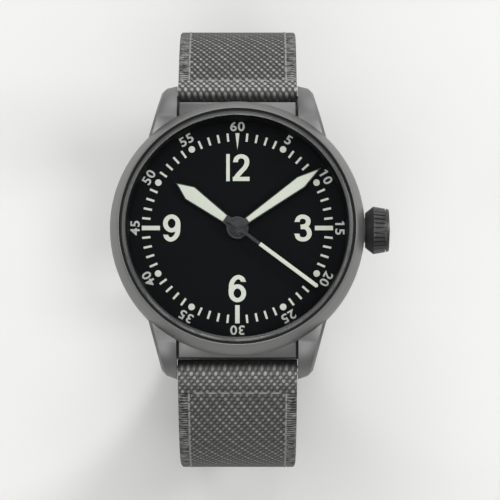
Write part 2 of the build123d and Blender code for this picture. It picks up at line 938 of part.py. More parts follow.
def bridge_blank():
    return disc(bridge_radius, bridge_z, plate_bottom_z)


def screw_places():
    """Two screws hold the barrel bridge, three the train bridge and one the balance cock."""
    ring = plate_radius * screw_ring_share
    places = [place(angle, ring) for angle in barrel_screw_angles + train_screw_angles]
    return places + [place(balance_angle, plate_radius * cock_screw_share)]


def jewel_places():
    """Jewels carry the centre, third and escape wheels and the fork in the train bridge, and the balance."""
    return [centre_at, third_at, escape_at, fork_at, balance_at]


def jewel_holes(bridge):
    for at in jewel_places():
        bridge -= disc(jewel_radius + seat_gap, 0, crystal_top_z, at=at)
    return bridge


def balance_cock_outline(margin):
    """The cock is a bar from the rim of the movement over the balance's axis."""
    half = screw_head_radius * 2 + margin
    bar = block((balance_distance - half / 2, plate_radius), (-half, half), (0, crystal_top_z))
    bar += disc(half, 0, crystal_top_z, at=(balance_distance - half / 2, 0))
    return Rot(0, 0, balance_angle) * bar


def make_barrel_bridge():
    half = block(
        (-plate_radius, plate_radius), (bridge_split_y + bridge_slot, plate_radius), (0, plate_bottom_z)
    )
    return (bridge_blank() & half) - disc(barrel_arbor_radius + seat_gap, 0, crystal_top_z, at=barrel_at)


def make_train_bridge():
    """What is left of the lower half beside the balance and its cock."""
    half = block((-plate_radius, plate_radius), (-plate_radius, bridge_split_y), (0, plate_bottom_z))
    bridge = bridge_blank() & half
    bridge -= balance_cock_outline(bridge_slot)
    bridge -= disc(balance_radius, 0, plate_bottom_z, at=balance_at)
    bridge = bridge.solids().sort_by(SortBy.VOLUME)[-1]
    return jewel_holes(bridge)


def make_balance_cock():
    return jewel_holes(bridge_blank() & balance_cock_outline(0))


def make_jewels():
    """Bearings set through the bridges, under the pivots."""
    return Compound(children=[disc(jewel_radius, bridge_z, plate_bottom_z, at=at) for at in jewel_places()])


def make_bridge_screws():
    """Slotted screw heads on the bridges."""
    screws = []
    low = bridge_z - screw_head_height
    half = screw_slot_width / 2
    for x, y in screw_places():
        slot = block(
            (x - 2 * screw_head_radius, x + 2 * screw_head_radius),
            (y - half, y + half),
            (low - overrun, low + screw_slot_depth),
        )
        screws.append(disc(screw_head_radius, low, bridge_z, at=(x, y)) - slot)
    return Compound(children=screws)


def make_movement_holder():
    """A ring between plate and case, from the case back to the dial."""
    bottom = back_recess_z + back_spigot_height + running_gap
    inner = plate_radius + holder_inner_gap
    holder = disc(inner + holder_wall, bottom, dial_bottom_z, inner)
    return holder - rod_x(stem_radius + running_gap * 2, 0, case_radius + overrun, z=crown_z)


# Motion works
def make_cannon_pinion():
    top = minute_hand_z + hand_thickness + hand_tube_rise
    pinion = toothed(cannon_leaves, cannon_module, cannon_z, cannon_leaf_height, 0, centre_at)
    pinion += disc(cannon_tube_radius, cannon_z, top)
    return pinion - disc(centre_tube_radius + running_gap, 0, crystal_top_z)


def make_minute_wheel():
    tooth = mesh_angle(cannon_leaves, 0, motion_angle, minute_wheel_teeth)
    pinion_z = minute_wheel_z + wheel_thickness
    pinion_height = hour_wheel_z + wheel_thickness - pinion_z
    wheel = toothed(minute_wheel_teeth, cannon_module, minute_wheel_z, wheel_thickness, tooth, minute_at)
    wheel += toothed(minute_pinion_leaves, hour_module, pinion_z, pinion_height, 0, minute_at)
    return wheel - disc(minute_post_radius + running_gap, 0, crystal_top_z, at=minute_at)


def make_hour_wheel():
    tooth = mesh_angle(minute_pinion_leaves, 0, motion_angle + 180, hour_wheel_teeth)
    top = hour_hand_z + hand_thickness + hand_tube_rise
    wheel = toothed(hour_wheel_teeth, hour_module, hour_wheel_z, wheel_thickness, tooth, centre_at)
    wheel += disc(hour_tube_radius, hour_wheel_z, top)
    return wheel - disc(hour_tube_bore, 0, crystal_top_z)


# Rotor
def make_rotor():
    """A half disc with a heavy rim, on a round hub."""
    inner = rotor_radius - rotor_rim_width
    plate_top = rotor_z + rotor_plate_thickness
    bore = bearing_radius + running_gap
    weight = turned(
        [
            (bore, rotor_z),
            (rotor_radius, rotor_z),
            (rotor_radius, rotor_z + rotor_rim_height),
            (inner, rotor_z + rotor_rim_height),
            (inner, plate_top),
            (bore, plate_top),
        ],
        180,
    )
    return weight + disc(rotor_hub_radius, rotor_z, plate_top, bore)


def make_rotor_bearing():
    return disc(bearing_radius, rotor_z - bearing_lip, bridge_z)


# Hands
def blade(shape, root_y):
    """A sword-shaped outline that points to 12 o'clock, drawn on from its base to root_y."""
    base_y, base_width, shoulder_y, shoulder_width, tip_y = shape
    left = [(-base_width / 2, base_y), (-shoulder_width / 2, shoulder_y)]
    right = [(shoulder_width / 2, shoulder_y), (base_width / 2, base_y)]
    root = [(base_width / 2, root_y), (-base_width / 2, root_y)] if root_y < base_y else []
    return make_face(Polyline(*left, (0, tip_y), *right, *root, close=True))


def make_hand_pair(shape, hub_radius, hole_radius, low, angle):
    """A hand with an open window, and the luminous filling that sits in the window."""
    base_y = shape[0]
    blank = blade(shape, base_y)
    hand = extrude(blade(shape, hub_radius / 2) + Circle(hub_radius), hand_thickness)
    hand -= extrude(offset(blank, -lume_border), hand_thickness)
    hand -= Cylinder(hole_radius, 2 * overrun)
    filling = extrude(offset(blank, -lume_border - seat_gap), hand_thickness + lume_rise)
    turn = Pos(0, 0, low) * Rot(0, 0, -angle)
    return turn * hand, turn * filling


def make_seconds_pair():
    """The seconds hand: hub, dark stem and tail, then a narrow frame round the filling."""
    half_stem = seconds_stem_width / 2
    half_blade = seconds_lume_width / 2
    stem = Pos(0, (seconds_lume_y - seconds_tail_length) / 2) * Rectangle(
        seconds_stem_width, seconds_lume_y + seconds_tail_length
    )
    frame_face = make_face(
        Polyline(
            (-half_blade, seconds_lume_y),
            (-half_blade, seconds_tip_y - half_stem),
            (0, seconds_tip_y),
            (half_blade, seconds_tip_y - half_stem),
            (half_blade, seconds_lume_y),
            close=True,
        )
    )
    floor = seconds_thickness / 2
    hand = extrude(stem + frame_face + Circle(seconds_hub_radius), floor)
    hand += extrude(stem + Circle(seconds_hub_radius), seconds_thickness)
    hand += extrude(Circle(seconds_pin_radius), seconds_thickness + lume_rise)
    hand -= Cylinder(seconds_arbor_radius, 2 * seconds_thickness)
    filling = Pos(0, 0, floor) * extrude(frame_face, seconds_thickness - floor + lume_rise)
    turn = Pos(0, 0, seconds_hand_z) * Rot(0, 0, -seconds_angle)
    return turn * hand, turn * filling


# Strap
upper_run = loop_half_width - strap_thickness / 2 - bar_y
upper_drop = bar_z - loop_widest_z
upper_radius = (upper_run**2 + upper_drop**2) / (2 * upper_run)
upper_centre_y = loop_half_width - strap_thickness / 2 - upper_radius
upper_angle = math.degrees(math.atan2(upper_drop, bar_y - upper_centre_y))
upper_length = upper_radius * math.radians(upper_angle)
widest_y = loop_half_width - strap_thickness / 2

short_centre_y = widest_y - short_lower_radius
short_straight = short_length - upper_length - short_lower_radius * math.pi / 2
buckle_y = short_centre_y - short_straight
buckle_z = loop_widest_z - short_lower_radius

long_arc_z = loop_widest_z - long_straight
long_centre_y = widest_y - long_lower_radius
tail_z = long_arc_z - long_lower_radius
tail_straight = long_length - upper_length - long_straight - long_lower_radius * math.pi / 2
tail_y = long_centre_y - tail_straight


def strap_arc(centre_y, centre_z, radius, start, end):
    """One curved stretch of strap, seen from the side."""
    edges = []
    corners = []
    for r in (radius - strap_thickness / 2, radius + strap_thickness / 2):
        arc = CenterArc((centre_y, centre_z), r, start, end - start)
        edges.append(arc)
        corners.append((arc @ 0, arc @ 1))
    edges.append(Line(corners[0][0], corners[1][0]))
    edges.append(Line(corners[0][1], corners[1][1]))
    return make_face(edges)


def strap_run(first, last):
    """One straight stretch of strap, level or upright, seen from the side."""
    half = strap_thickness / 2
    y0, y1 = sorted((first[0], last[0]))
    z0, z1 = sorted((first[1], last[1]))
    if y0 == y1:
        y0, y1 = y0 - half, y1 + half
    else:
        z0, z1 = z0 - half, z1 + half
    return Pos((y0 + y1) / 2, (z0 + z1) / 2) * Rectangle(y1 - y0, z1 - z0)


def strap_solid(faces, eyes):
    """A strap piece of full width from its side view, with a hole through each folded end."""
    outline = faces[0]
    for face in faces[1:]:
        outline += face
    for y, z in eyes:
        outline += Pos(y, z) * Circle(strap_eye_radius)
    for y, z in eyes:
        outline -= Pos(y, z) * Circle(bar_radius + running_gap)
    return extrude(Plane.YZ * outline, strap_width / 2, both=True)


def make_strap_short():
    faces = [
        strap_arc(upper_centre_y, loop_widest_z, upper_radius, 0, upper_angle),
        strap_arc(short_centre_y, loop_widest_z, short_lower_radius, -90, 0),
        strap_run((buckle_y, buckle_z), (short_centre_y, buckle_z)),
    ]
    strap = strap_solid(faces, [(bar_y, bar_z), (buckle_y, buckle_z)])
    half_slot = tang_width / 2 + tang_slot_gap
    slot = block(
        (-half_slot, half_slot),
        (buckle_y - strap_eye_radius - overrun, buckle_y + strap_eye_radius + tang_slot_gap),
        (buckle_z - overrun, buckle_z + overrun),
    )
    return strap - slot


def make_strap_long():
    """Made on the 12 o'clock side, then mirrored to 6 o'clock."""
    faces = [
        strap_arc(upper_centre_y, loop_widest_z, upper_radius, 0, upper_angle),
        strap_run((widest_y, long_arc_z), (widest_y, loop_widest_z)),
        strap_arc(long_centre_y, long_arc_z, long_lower_radius, -90, 0),
        strap_run((tail_y, tail_z), (long_centre_y, tail_z)),
    ]
    strap = strap_solid(faces, [(bar_y, bar_z)])
    half = strap_width / 2
    point_start = tail_y + tail_point_length
    side = tail_point_half_width
    tip = Line((-side, tail_y), (side, tail_y))
    tip_shape = make_face(
        [
            Polyline((-half, point_start + overrun), (-half, point_start), (-side, tail_y)),
            tip,
            Polyline((side, tail_y), (half, point_start), (half, point_start + overrun)),
            Line((half, point_start + overrun), (-half, point_start + overrun)),
        ]
    )
    tip_z = tail_z - strap_thickness
    tip_top = tail_z + strap_thickness
    end_zone = block((-half - overrun, half + overrun), (tail_y - overrun, point_start), (tip_z, tip_top))
    keep = Pos(0, 0, tip_z) * extrude(tip_shape, 2 * strap_thickness)
    strap -= end_zone - keep
    for index in range(hole_count):
        y = tail_y + hole_from_tip + index * hole_spacing
        strap -= disc(hole_radius, tip_z, tip_top, at=(0, y))
    return mirror(strap, Plane.XZ)


# Buckle
def make_buckle_frame():
    front = buckle_y - buckle_reach
    back = buckle_y + buckle_back
    middle = (front + back) / 2
    outer = Pos(0, middle) * RectangleRounded(2 * buckle_half_width, back - front, buckle_corner)
    window_front = front + buckle_front_width
    window = Pos(0, (window_front + back + overrun) / 2) * Rectangle(
        2 * buckle_window_half_width, back + overrun - window_front
    )
    low = buckle_z - buckle_thickness / 2
    frame = Pos(0, 0, low) * extrude(outer - window, buckle_thickness)
    rims = frame.edges().filter_by(GeomType.LINE).filter_by(Axis.X).group_by(Axis.Y)[0]
    frame = chamfer(rims, buckle_edge)
    half = tang_width / 2 + tang_slot_gap / 2
    notch_top = low + tang_notch_depth
    frame -= block((-half, half), (front - overrun, window_front + overrun), (low - overrun, notch_top))
    return frame - rod_x(
        bar_pin_radius + seat_gap,
        -buckle_window_half_width - bar_pin_reach,
        buckle_window_half_width + bar_pin_reach,
        buckle_y,
        buckle_z,
    )


def make_buckle_bar():
    end = buckle_window_half_width - running_gap
    pin_end = buckle_window_half_width + bar_pin_reach - seat_gap
    bar = rod_x(bar_radius, -end, end, buckle_y, buckle_z)
    return bar + rod_x(bar_pin_radius, -pin_end, pin_end, buckle_y, buckle_z)


def make_buckle_tang():
    """The prong: a tube round the bar and a flat tongue that ends in the frame's notch."""
    half = tang_width / 2
    top = buckle_z - buckle_thickness / 2 + tang_notch_depth - running_gap
    tang = block(
        (-half, half), (buckle_y - buckle_reach - tang_tip_past, buckle_y), (top - tang_thickness, top)
    )
    tang += rod_x(tang_eye_radius, -half, half, buckle_y, buckle_z)
    return tang - rod_x(bar_radius + running_gap, -tang_width, tang_width, buckle_y, buckle_z)


# Keepers
def keeper_loop(gap):
    """A band round the strap, lying level: its open middle is centred on the strap's own place."""
    inner_half = strap_width / 2 + keeper_side_gap
    top = strap_thickness / 2 + gap
    bottom = -strap_thickness / 2 - gap - keeper_tail_room
    half_length = keeper_length / 2
    outer = block(
        (-inner_half - keeper_wall, inner_half + keeper_wall),
        (-half_length, half_length),
        (bottom - keeper_wall, top + keeper_wall),
    )
    corners = outer.edges().filter_by(Axis.Y)
    outer = fillet(corners, keeper_wall)
    return outer - block(
        (-inner_half, inner_half), (-half_length - overrun, half_length + overrun), (bottom, top)
    )


def make_fixed_keeper():
    """Sewn to the strap: its inner side lies flat against it."""
    return Pos(0, buckle_y + fixed_keeper_offset, buckle_z) * keeper_loop(0)


def make_sliding_keeper():
    loop = keeper_loop(sliding_keeper_gap)
    turn = 90 - sliding_keeper_angle
    loop = Rot(turn, 0, 0) * Pos(0, 0, -short_lower_radius) * loop
    return Pos(0, short_centre_y, loop_widest_z) * loop


hour_shape = (
    hour_base_y,
    hour_base_width,
    hour_tip_y - hour_point_length,
    hour_shoulder_width,
    hour_tip_y,
)
minute_shape = (
    minute_base_y,
    minute_base_width,
    minute_tip_y - minute_point_length,
    minute_shoulder_width,
    minute_tip_y,
)
hour_hand, hour_lume = make_hand_pair(
    hour_shape, hour_hub_radius, hour_tube_radius + seat_gap, hour_hand_z, hour_angle
)
minute_hand, minute_lume = make_hand_pair(
    minute_shape, minute_hub_radius, cannon_tube_radius + seat_gap, minute_hand_z, minute_angle
)
seconds_hand, seconds_lume = make_seconds_pair()

save("case_middle", make_case_middle())
save("bezel", make_bezel())
save("crystal", make_crystal())
save("crystal_gasket", make_crystal_gasket())
save("flange_ring", make_flange_ring())
save("case_back", make_case_back())
save("case_back_gasket", make_case_back_gasket())
save("movement_holder", make_movement_holder())
save("crown_tube", make_crown_tube())
save("crown", make_crown())
save("crown_gasket", make_crown_gasket())
save("winding_stem", make_winding_stem())
save("spring_bars", make_spring_bars())
save("dial", make_dial())
save("hour_hand", hour_hand)
save("hour_hand_lume", hour_lume)
save("minute_hand", minute_hand)
save("minute_hand_lume", minute_lume)
save("seconds_hand", seconds_hand)
save("seconds_hand_lume", seconds_lume)
save("mainplate", make_mainplate())
save("barrel_bridge", make_barrel_bridge())
save("train_bridge", make_train_bridge())
save("balance_cock", make_balance_cock())
save("barrel", make_barrel())
save("barrel_arbor", make_barrel_arbor())
save("centre_wheel", make_centre_wheel())
save("third_wheel", make_third_wheel())
save("fourth_wheel", make_fourth_wheel())
save("escape_wheel", make_escape_wheel())
save("pallet_fork", make_pallet_fork())
save("balance_wheel", make_balance_wheel())
save("hairspring", make_hairspring())
save("cannon_pinion", make_cannon_pinion())
save("minute_wheel", make_minute_wheel())
save("hour_wheel", make_hour_wheel())
save("rotor", make_rotor())
save("rotor_bearing", make_rotor_bearing())
save("jewels", make_jewels())
save("bridge_screws", make_bridge_screws())
save("strap_short", make_strap_short())
save("strap_long", make_strap_long())
save("buckle_frame", make_buckle_frame())
save("buckle_tang", make_buckle_tang())
save("buckle_bar", make_buckle_bar())
save("fixed_keeper", make_fixed_keeper())
save("sliding_keeper", make_sliding_keeper())
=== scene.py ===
import math

import bmesh
import bpy
from mathutils import Matrix, Vector
from mathutils.geometry import interpolate_bezier


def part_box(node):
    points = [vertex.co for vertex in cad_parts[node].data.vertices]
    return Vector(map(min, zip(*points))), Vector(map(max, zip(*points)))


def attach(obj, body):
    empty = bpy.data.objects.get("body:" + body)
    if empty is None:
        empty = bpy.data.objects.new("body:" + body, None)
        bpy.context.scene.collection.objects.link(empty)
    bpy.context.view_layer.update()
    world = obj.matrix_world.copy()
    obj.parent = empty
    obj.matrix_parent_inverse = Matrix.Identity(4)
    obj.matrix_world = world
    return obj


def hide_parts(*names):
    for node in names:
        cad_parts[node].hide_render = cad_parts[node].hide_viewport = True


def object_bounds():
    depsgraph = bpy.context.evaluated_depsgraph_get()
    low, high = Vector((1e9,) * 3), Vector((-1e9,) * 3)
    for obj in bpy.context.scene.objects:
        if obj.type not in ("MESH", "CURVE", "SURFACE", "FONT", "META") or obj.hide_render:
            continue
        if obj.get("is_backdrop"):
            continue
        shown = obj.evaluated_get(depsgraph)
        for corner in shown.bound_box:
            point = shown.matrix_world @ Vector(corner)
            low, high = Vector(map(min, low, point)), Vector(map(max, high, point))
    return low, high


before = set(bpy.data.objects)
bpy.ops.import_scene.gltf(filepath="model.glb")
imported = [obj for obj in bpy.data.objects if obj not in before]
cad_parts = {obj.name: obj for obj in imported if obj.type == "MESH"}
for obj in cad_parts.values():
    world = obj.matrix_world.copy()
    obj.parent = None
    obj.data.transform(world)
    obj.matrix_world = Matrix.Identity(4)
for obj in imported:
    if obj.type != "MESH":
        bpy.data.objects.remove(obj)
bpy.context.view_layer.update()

bl_info = {
    "name": "Pilot watch dressing",
    "version": (1, 0, 0),
    "blender": (4, 5, 0),
    "location": "3D View > Sidebar > Watch",
    "description": "Gives the packed pilot watch its finishes, dial print, canvas strap and studio",
    "category": "Object",
}

# One millimetre, in Blender's metres
MM = 0.001


# Sizes and colours that a user would change
def length(name, description, millimetres):
    """A length property, given in millimetres."""
    return bpy.props.FloatProperty(
        name=name, description=description, default=millimetres * MM, unit="LENGTH", precision=5
    )


def power(name, description, watts):
    """A lamp's power."""
    return bpy.props.FloatProperty(name=name, description=description, default=watts, unit="POWER")


def colour(name, description, red, green, blue):
    """A colour property, given as plain screen values from 0 to 255."""
    shares = [((channel / 255 + 0.055) / 1.055) ** 2.4 for channel in (red, green, blue)]
    return bpy.props.FloatVectorProperty(
        name=name, description=description, default=shares, size=3, subtype="COLOR", min=0, max=1
    )


class DialPrint(bpy.types.PropertyGroup):
    thickness: length("Print thickness", "How far the luminous print stands up", 0.05)
    tick_inner: length("Tick start", "Radius where a minute tick starts", 14.4)
    tick_outer: length("Tick end", "Radius where a minute tick ends", 15.78)
    tick_width: length("Tick width", "Width of a minute tick", 0.36)
    bar_inner: length("Bar start", "Radius where the bars at 3, 6 and 9 start", 12.75)
    triangle_inner: length("Triangle tip", "Radius of the tip of the 12 o'clock triangle", 13.0)
    triangle_width: length("Triangle width", "Width of the 12 o'clock triangle", 0.68)
    bar_outer: length("Bar end", "Radius where the bars end", 15.75)
    bar_width: length("Bar width", "Width of those bars", 0.74)
    dot_place: length("Dot place", "Radius at which the five-minute dots sit", 15.06)
    dot_radius: length("Dot radius", "Radius of a five-minute dot", 0.55)
    numeral_height: length("Numeral height", "Height of 12, 3, 6 and 9", 4.5)
    numeral_middle: length("Numeral place", "From the hands to the middle of 12 and 6", 10.02)
    numeral_aside: length("Side numeral place", "From the hands to the middle of 3 and 9", 10.82)
    minute_height: length("Minute number height", "Height of the outer numbers", 1.35)
    minute_bolder: length("Minute number weight", "How much the outer numbers are thickened", 0.04)
    minute_place: length("Minute number place", "Radius of the middle of the outer numbers", 16.87)


class StrapCloth(bpy.types.PropertyGroup):
    repeat_across: length("Weave across", "Distance between two dots of one row", 2.04)
    row_pitch: length("Weave row", "Distance between two rows of dots", 0.84)
    seam_inset: length("Seam inset", "From the strap's edge to its side seam", 1.8)
    cross_seam_short: length("Upper cross seam", "From the spring bar to the seam at 12 o'clock", 2.4)
    cross_seam_long: length("Lower cross seam", "From the spring bar to the seam at 6 o'clock", 4.1)
    dot_across: length("Dot width", "Half the width of a light dot", 0.35)
    dot_along: length("Dot length", "Half the length of a light dot", 0.48)
    rib_pitch: length("Rib", "Distance between two ribs of the turned edges", 0.62)
    fold_fade: length("Fold shadow", "Length over which the fold by the case turns dark", 0.9)
    # Painted highlight: how far from the spring bar the cloth is painted lighter, where its round catches
    # light
    stretch_end: length("Painted highlight", "How far from the spring bar the cloth is lighter", 2.9)
    stitch_length: length("Stitch", "Length of one stitch", 2.0)
    stitch_gap: length("Stitch gap", "Space between two stitches", 0.12)
    thread_radius: length("Thread", "Half the thread's thickness", 0.2)
    edge_round: length("Edge rounding", "Rounding of the strap's edges", 0.5)


class Finishes(bpy.types.PropertyGroup):
    steel: colour("Coated steel", "Case, bezel, crown and buckle", 122, 123, 122)
    bare_steel: colour("Bare steel", "Spring bars, screws and arbors", 190, 190, 188)
    dial: colour("Dial", "Black lacquer of the dial", 12, 13, 15)
    ring: colour("Flange ring", "Black ring round the dial", 15, 15, 16)
    rubber: colour("Gaskets", "Black rubber", 20, 20, 20)
    lume: colour("Luminous paint", "Hands and large print", 195, 200, 187)
    print_ink: colour("Outer print", "Outer numbers", 180, 182, 176)
    hand: colour("Hand frames", "Dark metal of the hands", 56, 56, 57)
    cloth_dark: colour("Cloth ground", "Dark threads of the canvas", 30, 31, 30)
    cloth_light: colour("Cloth dots", "Light threads of the canvas", 168, 169, 166)
    thread: colour("Sewing thread", "Seams", 142, 143, 140)
    nickel: colour("Nickel", "Plates and bridges", 196, 192, 184)
    gilt: colour("Gilt", "Wheels of the movement", 200, 165, 105)
    ruby: colour("Ruby", "Bearings of the movement", 165, 20, 45)
    plastic: colour("Holder", "Ring round the movement", 205, 203, 196)
    floor: colour("Floor", "Plain pale floor", 224, 224, 222)


class Studio(bpy.types.PropertyGroup):
    distance: length("Camera distance", "From the middle of the dial to the camera", 603.0)
    aside: length("Camera to the right", "Moves the watch to the left in the picture", 2.075)
    lower: length("Camera downwards", "Moves the watch up in the picture", 3.619)
    tilt: bpy.props.FloatProperty(
        name="Tilt",
        description="How far the camera looks from the 6 o'clock side",
        default=math.radians(5.667),
        subtype="ANGLE",
    )
    lens: bpy.props.FloatProperty(
        name="Lens", description="Focal length", default=263.6, unit="CAMERA"
    )
    key_power: power("Main lamp", "Soft lamp over 12 o'clock", 2.4)
    fill_power: power("Second lamp", "Soft lamp over 6 o'clock", 1.3)
    side_power: power("Side lamps", "Each of the lamps round the watch", 0.7)
    sky: bpy.props.FloatProperty(
        name="Room light", description="Even light from all round", default=0.2, min=0
    )


# Shader maths
class Value:
    """A value in a material's nodes, for use in sums."""

    def __init__(self, nodes, socket):
        self.nodes = nodes
        self.socket = socket

    def maths(self, operation, *others):
        inputs = dict(enumerate((self, *others)))
        return self.nodes.value("ShaderNodeMath", {"operation": operation}, inputs)

    def __add__(self, other):
        return self.maths("ADD", other)

    def __sub__(self, other):
        return self.maths("SUBTRACT", other)

    def __rsub__(self, other):
        return self.nodes.value("ShaderNodeMath", {"operation": "SUBTRACT"}, {0: other, 1: self})

    def __mul__(self, other):
        return self.maths("MULTIPLY", other)

    def __truediv__(self, other):
        return self.maths("DIVIDE", other)

    def __gt__(self, other):
        return self.maths("GREATER_THAN", other)

    def __abs__(self):
        return self.maths("ABSOLUTE")

    def floor(self):
        return self.maths("FLOOR")

    def fraction(self):
        return self.maths("FRACT")

    def clamped(self):
        return self.maths("MAXIMUM", 0.0).maths("MINIMUM", 1.0)

    def root(self):
        return self.maths("SQRT")

    def wave(self):
        return self.maths("SINE")

    __radd__ = __add__
    __rmul__ = __mul__


class Nodes:
    """Adds nodes to one material or to the world."""

    def __init__(self, tree):
        self.tree = tree
        tree.nodes.clear()

    def node(self, kind, settings=None, inputs=None):
        """One node: its settings are set first, then its sockets get numbers or links."""
        node = self.tree.nodes.new(kind)
        for name, setting in (settings or {}).items():
            setattr(node, name, setting)
        for name, content in (inputs or {}).items():
            if isinstance(content, Value):
                self.tree.links.new(content.socket, node.inputs[name])
            else:
                node.inputs[name].default_value = content
        return node

    def value(self, kind, settings=None, inputs=None, output=0):
        return Value(self, self.node(kind, settings, inputs).outputs[output])

    def place(self, kind="Object"):
        """Object coordinates in metres, or with "UV" the distances across and along a cloth."""
        where = self.value("ShaderNodeTexCoord", output=kind)
        split = self.node("ShaderNodeSeparateXYZ", inputs={0: where})
        return [Value(self, split.outputs[axis]) for axis in ("X", "Y", "Z")]

    def vector(self, x, y, z):
        return self.value("ShaderNodeCombineXYZ", inputs={0: x, 1: y, 2: z})

    def noise(self, scale, detail, where=None):
        inputs = {"Scale": scale, "Detail": detail}
        inputs["Vector"] = where or self.value("ShaderNodeTexCoord", output="Object")
        return self.value("ShaderNodeTexNoise", inputs=inputs)

    def blend(self, share, first, second):
        """A colour between two colours."""
        first = first if isinstance(first, Value) else (*first, 1)
        second = second if isinstance(second, Value) else (*second, 1)
        inputs = {0: share, 6: first, 7: second}
        return self.value("ShaderNodeMix", {"data_type": "RGBA"}, inputs, output=2)

    def bump(self, height, depth, strength):
        inputs = {"Height": height, "Distance": depth, "Strength": strength}
        return self.value("ShaderNodeBump", inputs=inputs)

    def surface(self, **sockets):
        """A Principled surface, straight to the output. Underscores stand for spaces."""
        inputs = {name.replace("_", " "): content for name, content in sockets.items()}
        shader = self.value("ShaderNodeBsdfPrincipled", inputs=inputs)
        self.node("ShaderNodeOutputMaterial", inputs={"Surface": shader})


def material(name):
    """A new material and the maker of its nodes."""
    made = bpy.data.materials.new(name)
    made.use_nodes = True
    return made, Nodes(made.node_tree)


def shades(base, low, high):
    """A darker and a lighter version of a colour."""
    return [channel * low for channel in base], [min(1, channel * high) for channel in base]


def coated_steel(name, base, round_grain=False, shade=1.0):
    """Matt dark coated steel, its grain round the hands' axis or without direction. A shade under 1
    darkens it as painted shade.
    """
    made, nodes = material(name)
    if round_grain:
        x, y, z = nodes.place()
        lines_per_metre = 9000
        radius = (x * x + y * y).root() * lines_per_metre
        where = nodes.vector(radius, y.maths("ARCTAN2", x) * 12, z * lines_per_metre)
        grain = nodes.noise(1.0, 2.0, where)
    else:
        grain = nodes.noise(5200.0, 3.0)
    cloud = nodes.noise(110.0, 3.0)
    dark, light = shades(base, 0.86 * shade, 1.12 * shade)
    mix = (grain * 0.6 + cloud * 0.6 - 0.1).clamped()
    nodes.surface(
        Base_Color=nodes.blend(mix, dark, light),
        Metallic=0.8,
        Roughness=(0.32 + grain * 0.12 + cloud * 0.06).clamped(),
        Normal=nodes.bump(grain, 0.000004, 0.5),
    )
    return made


def bare_metal(name, base, roughness=0.26, round_grain=False):
    """Clean metal of the hands, the spring bars and the hidden movement, with a fine grain."""
    made, nodes = material(name)
    grain = nodes.noise(3500.0, 2.0)
    if round_grain:
        x, y = nodes.place()[:2]
        radius = (x * x + y * y).root()
        grain = (radius * 5200).wave() * 0.3 + grain * 0.7
    dark, light = shades(base, 0.88, 1.06)
    nodes.surface(
        Base_Color=nodes.blend(grain.clamped(), dark, light),
        Metallic=1.0,
        Roughness=(grain * 0.12 + roughness).clamped(),
        Normal=nodes.bump(grain, 0.000003, 0.4),
    )
    return made


def lacquer(name, base, roughness, grain_size=4200.0, tooth=0.45, gloss=0.25):
    """Matt lacquer or paint with a fine tooth."""
    made, nodes = material(name)
    grain = nodes.noise(grain_size, 4.0)
    cloud = nodes.noise(160.0, 2.0)
    dark, light = shades(base, 0.9, 1.1)
    nodes.surface(
        Base_Color=nodes.blend((grain * 0.5 + cloud * 0.5).clamped(), dark, light),
        Roughness=(grain * 0.14 + roughness).clamped(),
        Normal=nodes.bump(grain, 0.000006, tooth),
        Specular_IOR_Level=gloss,
    )
    return made


def glass(name, bevelled):
    """Clear coated glass: no gloss seen straight on and a little at a slant. A bevel shines grey, partly
    from its own gloss and partly from a painted reflection in its grey colour.
    """
    made, nodes = material(name)
    slant = nodes.value("ShaderNodeLayerWeight", inputs={"Blend": 0.5}, output=1)
    smear = nodes.noise(260.0, 2.0)
    clear = nodes.value("ShaderNodeBsdfTransparent", inputs={"Color": (0.985, 0.99, 0.99, 1)})
    share = slant.maths("POWER", 5.0) * 0.24
    kind = "ShaderNodeBsdfAnisotropic"
    looks = {"Color": (1, 1, 1, 1), "Roughness": 0.05 + smear * 0.02}
    if bevelled:
        # Painted reflection: the bevel's grey base colour stands for what the bevelled glass reflects and
        # bends; its gloss is real
        share = (share + smear * 0.2 + 0.5).clamped()
        kind = "ShaderNodeBsdfPrincipled"
        looks = {"Base Color": (0.07, 0.072, 0.07, 1), "Roughness": 0.25 + smear * 0.1}
    mirror = nodes.value(kind, inputs=looks)
    both = nodes.value("ShaderNodeMixShader", inputs={0: share, 1: clear, 2: mirror})
    nodes.node("ShaderNodeOutputMaterial", inputs={"Surface": both})
    return made


